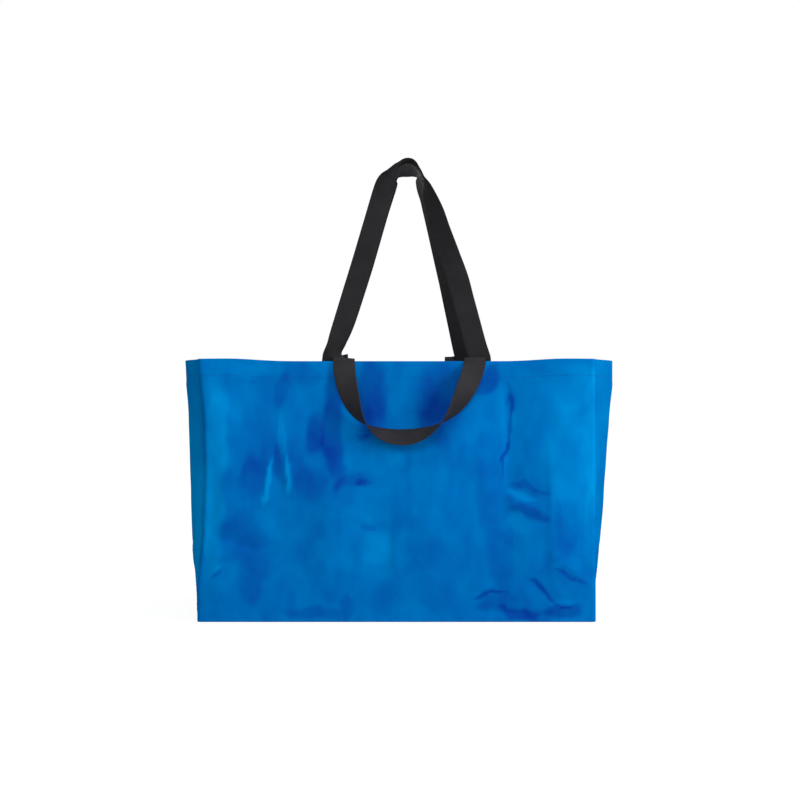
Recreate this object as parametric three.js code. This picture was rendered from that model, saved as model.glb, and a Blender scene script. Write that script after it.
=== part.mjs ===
import * as THREE from 'three';

// A large carrier bag of laminated woven plastic, open at the top, standing on its flat base.
// X runs across the wide panels, Y from the front panel to the back one, Z up.
// The origin is the centre of the base. All sizes are in millimetres.

// Bag body
const baseWidth = 550;
const baseDepth = 200;
const bagHeight = 360;
const wallThickness = 0.6;
const baseEdgeRadius = 0.5;
const cornerRadius = 5;

// Mouth, where the side panels belly out and the handles draw the wide panels in
const mouthWidth = 544;
const mouthDepth = 190;
const mouthShift = 3;
const sideFlare = 31;
const handlePull = 14;
const calmBandWidth = 276;
const pullStartHeight = 150;

// Hem, the top edge folded to the inside
const hemDepth = 26;
const hemGap = 0.4;
const hemCalmMargin = 8;
const rimWaveHeight = 3.4;
const rimWavePlace = 232;
const rimWaveSpread = 60;
const rimCornerSag = 0.7;

// Webbing of the four handles
const strapWidth = 30;
const strapThickness = 1.2;
const seatClearance = 0.3;
const strapEndMargin = 3;

// Long handles, for the shoulder
const longSpacing = 200;
const longRise = 291;
const longBendLength = 20;
const longStraightLength = 3;
const footShares = [0.45, 0.72];
const bendTwistShare = 0.3;

// Short handles, for the hand
const shortSpacing = 182;
const shortDrop = 105;
const hangClearance = 3;
const hangClearanceDrop = 30;
const rimRollRadius = 2;
const bottomTwist = (Math.PI * 3) / 4;

// How finely the surfaces are faceted
const frontSamples = 30;
const sideSamples = 8;
const cornerSamples = 3;
const wallRows = 15;
const rimSegments = 4;
const gapSegments = 2;
const longSegments = 68;
const shortSegments = 28;
const rollSegments = 6;
const strapFacets = 2;

// Values worked out from the driving sizes
const hemLine = bagHeight - hemDepth;
const calmHeight = hemLine - hemCalmMargin;
const hemThickness = 2 * wallThickness + hemGap;
const rimRadius = hemThickness / 2;
const rimSeatHeight = bagHeight - 1;
const patchOuterY = mouthDepth / 2 - handlePull;
const shortSeatY = patchOuterY - hemThickness - seatClearance - strapThickness / 2;
const longSeatY = shortSeatY - seatClearance - strapThickness;
const strapEndHeight = hemLine + strapEndMargin;
const hangY = patchOuterY + seatClearance + strapThickness / 2 + rimRollRadius / 2;

const front = -1;
const back = 1;

// Long-lasting soft folds of the wide panels. across and height are shares of the half
// width and of the height, depth is positive where the sheet stands out.
const panelFolds = [
  { face: front, across: -0.90, height: 0.52, spread: 16, reach: 150, depth: 3.5, lean: 0.02 },
  { face: front, across: -0.62, height: 0.42, spread: 22, reach: 80, depth: -4.0, lean: -0.10 },
  { face: front, across: -0.34, height: 0.36, spread: 20, reach: 70, depth: 4.0, lean: 0.05 },
  { face: front, across: -0.08, height: 0.34, spread: 20, reach: 60, depth: -3.5, lean: -0.06 },
  { face: front, across: 0.16, height: 0.30, spread: 24, reach: 75, depth: 3.0, lean: 0.04 },
  { face: front, across: 0.56, height: 0.58, spread: 17, reach: 95, depth: -5.0, lean: 0.03 },
  { face: front, across: 0.66, height: 0.26, spread: 20, reach: 60, depth: 3.5, lean: 0.35 },
  { face: front, across: 0.84, height: 0.44, spread: 18, reach: 110, depth: 4.0, lean: 0.05 },
  { face: back, across: -0.72, height: 0.48, spread: 20, reach: 110, depth: 4.0, lean: 0.06 },
  { face: back, across: -0.40, height: 0.36, spread: 22, reach: 75, depth: -4.0, lean: -0.05 },
  { face: back, across: 0.02, height: 0.32, spread: 24, reach: 70, depth: 3.5, lean: 0.08 },
  { face: back, across: 0.44, height: 0.40, spread: 20, reach: 80, depth: -4.0, lean: -0.12 },
  { face: back, across: 0.78, height: 0.50, spread: 18, reach: 120, depth: 4.0, lean: 0.03 },
];

// The crease down the middle of each side panel, left from when the bag lay flat
const gussetCreaseDepth = 5;
const gussetCreaseSpread = 14;

// Folds fade in above the base, out below the hem band and in from the upright corners.
const foldStartHeight = 45;
const foldEndLength = 50;
const foldCornerLength = 28;

// How the long handles turn over at their crowns, from left to right. Each place gives the
// strap's middle, measured from the top of the crown, and the way that its width points.
const frontCrown = [
  { at: [-32.7, -9.5, -47], across: [1, 0, 0] },
  { at: [-27.0, -7.0, -35.5], across: [0.97, 0.24, 0] },
  { at: [-19.2, -4.0, -24.5], across: [0.6, 0.8, 0] },
  { at: [-15.4, -2.0, -16.5], across: [0.14, 0.99, 0] },
  { at: [-12.1, -0.5, -11], across: [0, 0.99, -0.08] },
  { at: [-6.4, 0, -5.7], across: [0, 0.99, -0.1] },
  { at: [0, 0, -3.9], across: [0, 0.99, -0.1] },
  { at: [6.4, 0, -5.8], across: [0, 0.99, -0.1] },
  { at: [12.8, -1.0, -12.3], across: [0, 1, -0.05] },
  { at: [16.2, -2.0, -17.8], across: [0, 1, 0] },
  { at: [23.4, -6.0, -34], across: [-0.27, 0.96, 0] },
  { at: [30.2, -10.0, -47], across: [-0.60, 0.80, 0] },
  { at: [40.4, -16.6, -78], across: [-0.78, 0.63, 0] },
  { at: [47.7, -22.4, -105], across: [-0.85, 0.52, 0] },
  { at: [58.7, -29.8, -140], across: [-0.94, 0.34, 0] },
  { at: [69.1, -37.0, -174], across: [-0.98, 0.20, 0] },
];
const backCrown = [
  { at: [-28.0, 7.0, -40], across: [0.93, -0.27, -0.27] },
  { at: [-19.0, 8.9, -24], across: [0.40, -0.79, -0.47] },
  { at: [-12.5, 3.9, -15], across: [0.10, -0.79, -0.60] },
  { at: [-6.2, 0.3, -12], across: [0.02, -0.62, -0.78] },
  { at: [1.8, 0.3, -12], across: [0.02, -0.62, -0.78] },
  { at: [7.5, 0.8, -12.2], across: [0.03, -0.65, -0.76] },
  { at: [14.2, 5.8, -16.5], across: [-0.05, -0.85, -0.52] },
  { at: [18.0, 10.8, -24.5], across: [-0.27, -0.92, -0.30] },
  { at: [24.0, 13.3, -40.5], across: [-0.56, -0.82, -0.10] },
  { at: [34.5, 13.0, -62], across: [-0.85, -0.52, 0] },
  { at: [61.7, 34.6, -167], across: [-1, 0, 0] },
];

const bagPlastic = new THREE.MeshStandardMaterial({ color: '#0167b1', roughness: 0.42, metalness: 0 });
const webbing = new THREE.MeshStandardMaterial({ color: '#29292b', roughness: 0.8, metalness: 0 });

function smoothstep(from, to, value) {
  const share = THREE.MathUtils.clamp((value - from) / (to - from), 0, 1);
  return share * share * (3 - 2 * share);
}

function bell(distance, spread) {
  return Math.exp(-0.5 * (distance / spread) ** 2);
}

// The plan of the bag changes from the base rectangle to the mouth between the base and
// the calm height. Above that the hem band stands upright.
function planAt(z) {
  const opened = THREE.MathUtils.clamp(z / calmHeight, 0, 1);
  return {
    halfWidth: THREE.MathUtils.lerp(baseWidth, mouthWidth, opened) / 2,
    halfDepth: THREE.MathUtils.lerp(baseDepth, mouthDepth, opened) / 2,
    shift: mouthShift * opened,
    flare: sideFlare * opened,
    pull: handlePull * smoothstep(pullStartHeight, calmHeight, z),
  };
}

function foldFade(z, fromCorner) {
  const rise = smoothstep(0, foldStartHeight, z);
  const calm = 1 - smoothstep(calmHeight - foldEndLength, calmHeight, z);
  return rise * calm * smoothstep(0, foldCornerLength, fromCorner);
}

function panelRelief(face, x, z, plan) {
  let relief = 0;
  for (const fold of panelFolds) {
    if (fold.face !== face) continue;
    const rise = z - fold.height * bagHeight;
    const across = x - plan.shift - fold.across * plan.halfWidth - fold.lean * rise;
    relief += fold.depth * bell(across, fold.spread) * bell(rise, fold.reach);
  }
  return relief * foldFade(z, plan.halfWidth - Math.abs(x - plan.shift));
}

// Distance of a wide panel's outer face from the XZ plane
function panelReach(face, x, z) {
  const plan = planAt(z);
  const fromMiddle = Math.abs(x - plan.shift);
  const held = 1 - smoothstep(calmBandWidth / 2, plan.halfWidth - cornerRadius, fromMiddle);
  return plan.halfDepth - plan.pull * held + panelRelief(face, x, z, plan);
}

// Distance of a side panel's outer face from the upright middle plane
function sideReach(y, z, plan) {
  const share = y / (plan.halfDepth - cornerRadius);
  const belly = plan.flare * (1 + Math.cos(Math.PI * share)) / 2;
  const crease = gussetCreaseDepth * bell(y, gussetCreaseSpread) * foldFade(z, plan.halfDepth);
  return plan.halfWidth + belly - crease;
}

// Each sample of the outline is a rule that gives its point in plan at a height.
function panelSample(face, share) {
  return (z) => {
    const plan = planAt(z);
    const x = plan.shift - face * share * (plan.halfWidth - cornerRadius);
    return new THREE.Vector2(x, face * panelReach(face, x, z));
  };
}

function sideSample(hand, share) {
  return (z) => {
    const plan = planAt(z);
    const y = hand * share * (plan.halfDepth - cornerRadius);
    return new THREE.Vector2(plan.shift + hand * sideReach(y, z, plan), y);
  };
}

function cornerSample(hand, face, turn) {
  return (z) => {
    const plan = planAt(z);
    const x = plan.halfWidth - cornerRadius * (1 - Math.sin(turn));
    const y = plan.halfDepth - cornerRadius * (1 - Math.cos(turn));
    return new THREE.Vector2(plan.shift + hand * x, face * y);
  };
}

// The outline runs counter-clockwise, seen from above, from the front left corner.
function outlineRules() {
  const rules = [];
  const addPanel = (face) => {
    for (let i = 0; i <= frontSamples; i += 1) {
      rules.push(panelSample(face, (2 * i) / frontSamples - 1));
    }
  };
  const addCorner = (hand, face, rising) => {
    for (let i = 1; i <= cornerSamples; i += 1) {
      const share = i / (cornerSamples + 1);
      rules.push(cornerSample(hand, face, (Math.PI / 2) * (rising ? share : 1 - share)));
    }
  };
  const addSide = (hand) => {
    for (let i = 0; i <= sideSamples; i += 1) {
      rules.push(sideSample(hand, (2 * i) / sideSamples - 1));
    }
  };
  addPanel(front);
  addCorner(1, front, true);
  addSide(1);
  addCorner(1, back, false);
  addPanel(back);
  addCorner(-1, back, true);
  addSide(-1);
  addCorner(-1, front, false);
  return rules;
}

// The rim stands a little higher towards the corners than between the handles.
function rimWave(x, z) {
  const fromMiddle = Math.abs(x);
  const crest = rimWaveHeight * bell(fromMiddle - rimWavePlace, rimWaveSpread);
  const sag = (rimWaveHeight + rimCornerSag) * smoothstep(rimWavePlace, mouthWidth / 2 + sideFlare, fromMiddle);
  const calm = smoothstep(calmBandWidth / 2, rimWavePlace, fromMiddle);
  return (crest * calm - sag) * smoothstep(bagHeight / 2, calmHeight, z);
}

// The wall's section as stations of height and inset from the outer face. It runs from the
// base up the outside, over the rim, down the folded hem, up behind it and down the inside.
function wallSection() {
  const stations = [{ z: 0, inset: baseEdgeRadius }];
  const wallHeights = [];
  for (let row = 0; row <= wallRows; row += 1) {
    wallHeights.push(THREE.MathUtils.lerp(baseEdgeRadius, calmHeight, row / wallRows));
  }
  const hemHeights = [hemLine, bagHeight - rimRadius];
  for (const z of [...wallHeights, ...hemHeights]) {
    stations.push({ z, inset: 0 });
  }
  for (let i = 1; i <= rimSegments; i += 1) {
    const turn = (Math.PI * i) / rimSegments;
    const z = bagHeight - rimRadius + rimRadius * Math.sin(turn);
    stations.push({ z, inset: rimRadius * (1 - Math.cos(turn)) });
  }
  stations.push({ z: hemLine, inset: hemThickness });
  stations.push({ z: hemLine, inset: wallThickness + hemGap });
  stations.push({ z: bagHeight - rimRadius, inset: wallThickness + hemGap });
  for (let i = 1; i <= gapSegments; i += 1) {
    const turn = (Math.PI * i) / gapSegments;
    const z = bagHeight - rimRadius + (hemGap / 2) * Math.sin(turn);
    stations.push({ z, inset: rimRadius + (hemGap / 2) * Math.cos(turn) });
  }
  stations.push({ z: hemLine, inset: wallThickness });
  for (const z of wallHeights.slice(1).reverse()) {
    stations.push({ z, inset: wallThickness });
  }
  stations.push({ z: wallThickness, inset: wallThickness });
  return stations;
}

function closedSolid(points, faces) {
  const geometry = new THREE.BufferGeometry();
  const positions = points.flatMap((point) => [point.x, point.y, point.z]);
  geometry.setAttribute('position', new THREE.Float32BufferAttribute(positions, 3));
  geometry.setIndex(faces.flat());
  geometry.computeVertexNormals();
  return geometry;
}

// Both faces of the wall are split along the same diagonals, so that folds keep its thickness.
function bagShell() {
  const rules = outlineRules();
  const count = rules.length;
  const stations = wallSection();
  const points = [];
  for (const { z, inset } of stations) {
    const outline = rules.map((rule) => rule(z));
    outline.forEach((place, i) => {
      const along = outline[(i + 1) % count].clone().sub(outline[(i + count - 1) % count]).normalize();
      const x = place.x - along.y * inset;
      const y = place.y + along.x * inset;
      points.push(new THREE.Vector3(x, y, z + rimWave(place.x, z)));
    });
  }
  const faces = [];
  const innerStart = stations.length / 2;
  for (let row = 0; row < stations.length - 1; row += 1) {
    for (let i = 0; i < count; i += 1) {
      const next = (i + 1) % count;
      const a = row * count + i;
      const b = row * count + next;
      const c = (row + 1) * count + next;
      const d = (row + 1) * count + i;
      if (row < innerStart) faces.push([a, b, c], [a, c, d]);
      else faces.push([a, b, d], [b, c, d]);
    }
  }
  const underside = points.push(new THREE.Vector3(0, 0, 0)) - 1;
  const floor = points.push(new THREE.Vector3(0, 0, wallThickness)) - 1;
  const lastRow = (stations.length - 1) * count;
  for (let i = 0; i < count; i += 1) {
    const next = (i + 1) % count;
    faces.push([underside, next, i], [floor, lastRow + i, lastRow + next]);
  }
  return closedSolid(points, faces);
}

// A flat strap through a list of stations. Each station is a point on the middle line and
// the direction that the strap's width points in there. Both faces are split along the same
// diagonals, so that the strap keeps its thickness where it twists.
function strapSolid(stations) {
  const places = [];
  for (let i = 0; i <= strapFacets; i += 1) {
    places.push((2 * i) / strapFacets - 1);
  }
  const points = [];
  stations.forEach(({ point, across }, i) => {
    const before = stations[Math.max(i - 1, 0)].point;
    const after = stations[Math.min(i + 1, stations.length - 1)].point;
    const along = after.clone().sub(before).normalize();
    const wide = across.clone().addScaledVector(along, -across.dot(along)).setLength(strapWidth / 2);
    const thick = along.clone().cross(wide).setLength(strapThickness / 2);
    for (const place of places) points.push(point.clone().addScaledVector(wide, place).sub(thick));
    for (const place of places) points.push(point.clone().addScaledVector(wide, place).add(thick));
  });
  const faces = [];
  const perSide = places.length;
  const perStation = 2 * perSide;
  const addStrip = (from, to, reversed) => {
    const [a, b, c, d] = [from, to, to + perStation, from + perStation];
    if (reversed) faces.push([b, a, d], [b, d, c]);
    else faces.push([a, b, c], [a, c, d]);
  };
  for (let i = 0; i < stations.length - 1; i += 1) {
    const start = i * perStation;
    for (let k = 0; k < strapFacets; k += 1) {
      addStrip(start + k, start + k + 1, false);
      const top = start + perSide + k;
      faces.push([top + 1, top, top + perStation + 1], [top, top + perStation, top + perStation + 1]);
    }
    addStrip(start + perSide - 1, start + perStation - 1, false);
    addStrip(start, start + perSide, true);
  }
  const last = (stations.length - 1) * perStation;
  for (let k = 0; k < strapFacets; k += 1) {
    const quad = [k, k + 1, perSide + k + 1, perSide + k];
    const [a, b, c, d] = quad;
    faces.push([a, c, b], [a, d, c]);
    faces.push([last + a, last + b, last + c], [last + a, last + c, last + d]);
  }
  return closedSolid(points, faces);
}

// One end of a long handle, from its end in the hem up the straight of its strand. It turns
// by footTwist where it leaves the rim, and keeps its inner edge in place as it turns.
function handleFoot(hand, face, shift, shoulder, footTwist) {
  const x = shift + (hand * longSpacing) / 2;
  const seatY = face * longSeatY;
  const plain = new THREE.Vector3(-hand, 0, 0);
  const straightEnd = bagHeight + longStraightLength;
  const foot = [strapEndHeight, bagHeight - hemDepth / 2, rimSeatHeight, straightEnd].map((z) => ({
    point: new THREE.Vector3(x, seatY, z),
    across: plain,
  }));
  const rimPoint = new THREE.Vector3(x, seatY, bagHeight);
  const addKnot = (share, twist) => {
    const point = rimPoint.clone().lerp(shoulder, share);
    point.x -= hand * (strapWidth / 2) * (1 - Math.cos(twist));
    foot.push({ point, across: new THREE.Vector3(-hand * Math.cos(twist), -face * Math.sin(twist), 0) });
  };
  addKnot(longBendLength / (shoulder.z - bagHeight), footTwist * bendTwistShare);
  for (const share of footShares) addKnot(share, footTwist);
  return foot;
}

// A long handle rises from inside the hem, leans in to the middle of the mouth and turns
// over at its crown. The knots' width directions are carried along the curve.
function longHandle({ face, shift, crownX, crownY, crown, leftFootTwist, rightFootTwist }) {
  const top = new THREE.Vector3(crownX, crownY, bagHeight + longRise);
  const crownKnots = crown.map(({ at, across }) => ({
    point: new THREE.Vector3(...at).add(top),
    across: new THREE.Vector3(...across),
  }));
  const leftFoot = handleFoot(-1, face, shift, crownKnots[0].point, leftFootTwist);
  const rightFoot = handleFoot(1, face, shift, crownKnots[crownKnots.length - 1].point, rightFootTwist);
  const knots = [...leftFoot, ...crownKnots, ...rightFoot.reverse()];
  const curve = new THREE.CatmullRomCurve3(knots.map((knot) => knot.point), false, 'centripetal');
  const stations = [];
  for (let i = 0; i <= longSegments; i += 1) {
    const along = crowdedShare(i / longSegments);
    const parameter = curve.getUtoTmapping(along);
    const place = parameter * (knots.length - 1);
    const first = Math.min(Math.floor(place), knots.length - 2);
    const across = knots[first].across.clone().lerp(knots[first + 1].across, smoothstep(0, 1, place - first));
    stations.push({ point: curve.getPoint(parameter), across });
  }
  return strapSolid(stations);
}

// Spreads the stations of a long handle so that they lie closer at its crown.
function crowdedShare(share) {
  const fromMiddle = 2 * share - 1;
  return 0.5 + 0.5 * Math.sign(fromMiddle) * Math.abs(fromMiddle) ** 1.6;
}

// One end of a short handle, from its end in the hem over the rim to where it hangs. slant
// tips the top of the roll, so that the strap crosses the rim askew.
function rollFoot(hand, face, shift, rollHeight, slant) {
  const x = shift + (hand * shortSpacing) / 2;
  const plain = new THREE.Vector3(-hand, 0, 0);
  const stations = [strapEndHeight, bagHeight - hemDepth / 2, rimSeatHeight].map((z) => ({
    point: new THREE.Vector3(x, face * shortSeatY, z),
    across: plain,
  }));
  const middleY = (shortSeatY + hangY) / 2;
  const radius = (hangY - shortSeatY) / 2;
  for (let i = 0; i <= rollSegments; i += 1) {
    const turn = (Math.PI * i) / rollSegments;
    const y = face * (middleY - radius * Math.cos(turn));
    const z = bagHeight + rollHeight - radius + radius * Math.sin(turn);
    const tip = slant * Math.sin(turn) ** 3;
    const across = new THREE.Vector3(-hand * Math.cos(tip), 0, -Math.sin(tip));
    stations.push({ point: new THREE.Vector3(x, y, z), across });
  }
  return stations;
}

// A short handle rises from inside the hem, rolls over the rim and hangs outside in a loop
// that turns over towards its lowest point. left and right give the fullness of each side's
// rounded curve at the rim and at the bottom, the slant of its roll and the share of the
// curve where its turning starts.
function shortHandle({ face, shift, bottomShift, rollHeight, left, right }) {
  const bottom = shift + bottomShift;
  const hanging = [];
  for (let i = 1; i < shortSegments; i += 1) {
    const fromBottom = (2 * i) / shortSegments - 1;
    const [side, hand] = fromBottom < 0 ? [left, -1] : [right, 1];
    const lowered = 1 - Math.abs(fromBottom);
    const turn = (Math.PI / 2) * lowered;
    const fullness = THREE.MathUtils.lerp(side.rimFullness, side.bottomFullness, smoothstep(0, 0.8, lowered));
    const x = THREE.MathUtils.lerp(bottom, shift + (hand * shortSpacing) / 2, Math.cos(turn) ** (2 / fullness));
    const drop = shortDrop * Math.sin(turn) ** (2 / fullness);
    const z = bagHeight - drop;
    const twist = bottomTwist * smoothstep(side.twistStart, 1, lowered);
    const clearance = hangClearance * smoothstep(0, hangClearanceDrop, drop);
    const wallReach = Math.max(hangY, panelReach(face, x, z) + strapThickness / 2);
    const y = face * (wallReach + clearance + (strapWidth / 2) * Math.abs(Math.sin(twist)));
    hanging.push({ point: new THREE.Vector3(x, y, z), twist });
  }
  const loop = hanging.map(({ point, twist }, i) => {
    const before = hanging[Math.max(i - 1, 0)].point;
    const after = hanging[Math.min(i + 1, hanging.length - 1)].point;
    const along = after.clone().sub(before);
    const across = new THREE.Vector3(-along.z, 0, along.x).setLength(Math.cos(twist));
    if (Math.cos(twist) < 0) across.negate();
    across.y = face * Math.sin(twist);
    return { point, across };
  });
  const leftFoot = rollFoot(-1, face, shift, rollHeight, left.slant);
  const rightFoot = rollFoot(1, face, shift, rollHeight, right.slant);
  return strapSolid([...leftFoot, ...loop, ...rightFoot.reverse()]);
}

function namedMesh(name, geometry, material) {
  const mesh = new THREE.Mesh(geometry, material);
  mesh.name = name;
  return mesh;
}

const bag = new THREE.Group();

bag.add(namedMesh('bag_body', bagShell(), bagPlastic));

bag.add(namedMesh('long_handle_front', longHandle({
  face: front,
  shift: 13.8,
  crownX: 14.8,
  crownY: -15,
  crown: frontCrown,
  leftFootTwist: -Math.PI / 6,
  rightFootTwist: 0,
}), webbing.clone()));

bag.add(namedMesh('long_handle_back', longHandle({
  face: back,
  shift: 3.5,
  crownX: 14,
  crownY: 17,
  crown: backCrown,
  leftFootTwist: Math.PI / 6,
  rightFootTwist: 0,
}), webbing.clone()));

bag.add(namedMesh('short_handle_front', shortHandle({
  face: front,
  shift: 18,
  bottomShift: -7,
  rollHeight: 4.5,
  left: { rimFullness: 1.9, bottomFullness: 2.3, slant: Math.PI / 22, twistStart: 0 },
  right: { rimFullness: 1.5, bottomFullness: 1.8, slant: 0, twistStart: 0.05 },
}), webbing.clone()));

bag.add(namedMesh('short_handle_back', shortHandle({
  face: back,
  shift: -0.5,
  bottomShift: 3,
  rollHeight: 10,
  left: { rimFullness: 1.8, bottomFullness: 2.1, slant: 0, twistStart: 0.05 },
  right: { rimFullness: 1.7, bottomFullness: 2.1, slant: 0, twistStart: 0 },
}), webbing.clone()));

export default bag;
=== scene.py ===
"""A wide carrier bag of blue laminated woven plastic with dark webbing handles.

Everything is worked out in millimetres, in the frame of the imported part: X runs across the
wide panels, Y from the front panel to the back one, Z up, with the origin under the base.
"""

import logging
import math
from dataclasses import dataclass, field
from enum import Enum

import bpy
import numpy as np
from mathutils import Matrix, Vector

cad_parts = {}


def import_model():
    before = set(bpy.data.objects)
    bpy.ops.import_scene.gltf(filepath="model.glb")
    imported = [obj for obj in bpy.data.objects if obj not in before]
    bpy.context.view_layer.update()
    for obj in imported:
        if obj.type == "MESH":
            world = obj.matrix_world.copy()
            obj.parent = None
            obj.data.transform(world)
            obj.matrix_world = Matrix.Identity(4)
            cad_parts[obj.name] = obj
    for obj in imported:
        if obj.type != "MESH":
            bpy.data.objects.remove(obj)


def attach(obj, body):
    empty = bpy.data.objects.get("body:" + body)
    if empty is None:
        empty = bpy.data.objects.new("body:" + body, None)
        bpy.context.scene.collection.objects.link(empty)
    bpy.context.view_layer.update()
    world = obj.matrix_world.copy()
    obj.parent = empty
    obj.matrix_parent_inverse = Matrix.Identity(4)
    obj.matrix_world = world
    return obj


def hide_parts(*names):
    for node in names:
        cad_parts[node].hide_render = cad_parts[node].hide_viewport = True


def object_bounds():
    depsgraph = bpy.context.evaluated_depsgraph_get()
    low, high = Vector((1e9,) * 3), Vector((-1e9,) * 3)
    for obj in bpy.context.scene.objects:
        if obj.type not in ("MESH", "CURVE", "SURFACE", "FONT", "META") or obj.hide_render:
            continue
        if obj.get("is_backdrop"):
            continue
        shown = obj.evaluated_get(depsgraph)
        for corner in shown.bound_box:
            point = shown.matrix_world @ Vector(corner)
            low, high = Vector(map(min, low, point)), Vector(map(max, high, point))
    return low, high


LOG = logging.getLogger("carrier_bag")
MM = 0.001


class Face(Enum):
    """The two wide panels, by the side of the XZ plane that they stand on."""

    FRONT = -1
    BACK = 1


class Hand(Enum):
    """Left and right, seen from the front."""

    LEFT = -1
    RIGHT = 1


# Shaping rules


def smoothstep(start: float, end: float, value: np.ndarray) -> np.ndarray:
    """Rise smoothly from 0 at start to 1 at end."""
    share = np.clip((np.asarray(value, float) - start) / (end - start), 0.0, 1.0)
    return share * share * (3.0 - 2.0 * share)


def bell(distance: np.ndarray, spread: float) -> np.ndarray:
    """A rounded bump of height 1 that is spread wide."""
    return np.exp(-0.5 * (np.asarray(distance, float) / spread) ** 2)


def value_noise(u: np.ndarray, v: np.ndarray, seed: int) -> np.ndarray:
    """Smooth noise between about -1 and 1, the same on each run.

    Args:
        u: First coordinate, in cells.
        v: Second coordinate, in cells.
        seed: Picks one of many patterns.

    Returns:
        One value for each point.
    """
    lattice = np.random.default_rng(seed).uniform(-1.0, 1.0, (64, 64))
    u0 = np.floor(u).astype(int)
    v0 = np.floor(v).astype(int)
    fu = smoothstep(0.0, 1.0, u - u0)
    fv = smoothstep(0.0, 1.0, v - v0)

    def corner(du: int, dv: int) -> np.ndarray:
        """Lattice value at one corner of each point's cell."""
        return lattice[(u0 + du) % 64, (v0 + dv) % 64]

    low = corner(0, 0) * (1 - fu) + corner(1, 0) * fu
    high = corner(0, 1) * (1 - fu) + corner(1, 1) * fu
    return low * (1 - fv) + high * fv


# Meshes


def make_object(name: str, points: np.ndarray, faces: list, uv: np.ndarray | None = None) -> bpy.types.Object:
    """Build a smooth-shaded object at the origin from points in millimetres.

    Args:
        name: Name of the object and its mesh.
        points: One row of x, y, z for each point.
        faces: Lists of point numbers.
        uv: One row of u, v in metres for each point, if a pattern follows the surface.

    Returns:
        The new object, linked to the scene.
    """
    mesh = bpy.data.meshes.new(name)
    mesh.from_pydata((np.asarray(points) * MM).tolist(), [], faces)
    if uv is not None:
        layer = mesh.uv_layers.new(name="Surface")
        loops = np.empty(len(mesh.loops), dtype=np.int32)
        mesh.loops.foreach_get("vertex_index", loops)
        layer.data.foreach_set("uv", np.asarray(uv, np.float32)[loops].ravel())
    mesh.polygons.foreach_set("use_smooth", [True] * len(mesh.polygons))
    mesh.set_sharp_from_angle(angle=math.radians(50))
    mesh.update()
    piece = bpy.data.objects.new(name, mesh)
    bpy.context.scene.collection.objects.link(piece)
    return piece


def grid_faces(rows: int, columns: int, closed: bool) -> list:
    """Quads of a grid of points that runs row by row.

    Args:
        rows: Number of rows of points.
        columns: Number of points in a row.
        closed: Whether the last column joins the first.

    Returns:
        One list of four point numbers for each quad.
    """
    width = columns if closed else columns - 1
    row, column = np.meshgrid(np.arange(rows - 1), np.arange(width), indexing="ij")
    after = (column + 1) % columns
    quads = np.stack([
        row * columns + column,
        row * columns + after,
        (row + 1) * columns + after,
        (row + 1) * columns + column,
    ], axis=-1)
    return quads.reshape(-1, 4).tolist()


# The bag's sheet and its folds


@dataclass(frozen=True)
class SoftFold:
    """A broad upright fold. Places are shares of the half width and the height."""

    face: Face
    across: float
    height: float
    spread: float
    reach: float
    depth: float
    lean: float


@dataclass(frozen=True)
class Crease:
    """A narrow bend of the film along a line, from (x0, z0) to (x1, z1).

    The depth is positive where the bend stands out. One flank may be steeper than the other.
    """

    face: Face
    x0: float
    z0: float
    x1: float
    z1: float
    depth: float
    flank: float
    other_flank: float


@dataclass(frozen=True)
class Dent:
    """A shallow dimple or blister with one crisp edge, turned by an angle in degrees."""

    face: Face
    x: float
    z: float
    wide: float
    tall: float
    depth: float
    angle: float


SOFT_FOLDS = (
    SoftFold(Face.FRONT, -0.90, 0.52, 16, 150, 3.5, 0.02),
    SoftFold(Face.FRONT, -0.62, 0.42, 22, 80, -4.0, -0.10),
    SoftFold(Face.FRONT, -0.34, 0.36, 20, 70, 4.0, 0.05),
    SoftFold(Face.FRONT, -0.08, 0.34, 20, 60, -3.5, -0.06),
    SoftFold(Face.FRONT, 0.16, 0.30, 24, 75, 3.0, 0.04),
    SoftFold(Face.FRONT, 0.56, 0.58, 17, 95, -5.0, 0.03),
    SoftFold(Face.FRONT, 0.66, 0.26, 20, 60, 3.5, 0.35),
    SoftFold(Face.FRONT, 0.84, 0.44, 18, 110, 4.0, 0.05),
    SoftFold(Face.BACK, -0.72, 0.48, 20, 110, 4.0, 0.06),
    SoftFold(Face.BACK, -0.40, 0.36, 22, 75, -4.0, -0.05),
    SoftFold(Face.BACK, 0.02, 0.32, 24, 70, 3.5, 0.08),
    SoftFold(Face.BACK, 0.44, 0.40, 20, 80, -4.0, -0.12),
    SoftFold(Face.BACK, 0.78, 0.50, 18, 120, 4.0, 0.03),
)

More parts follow.
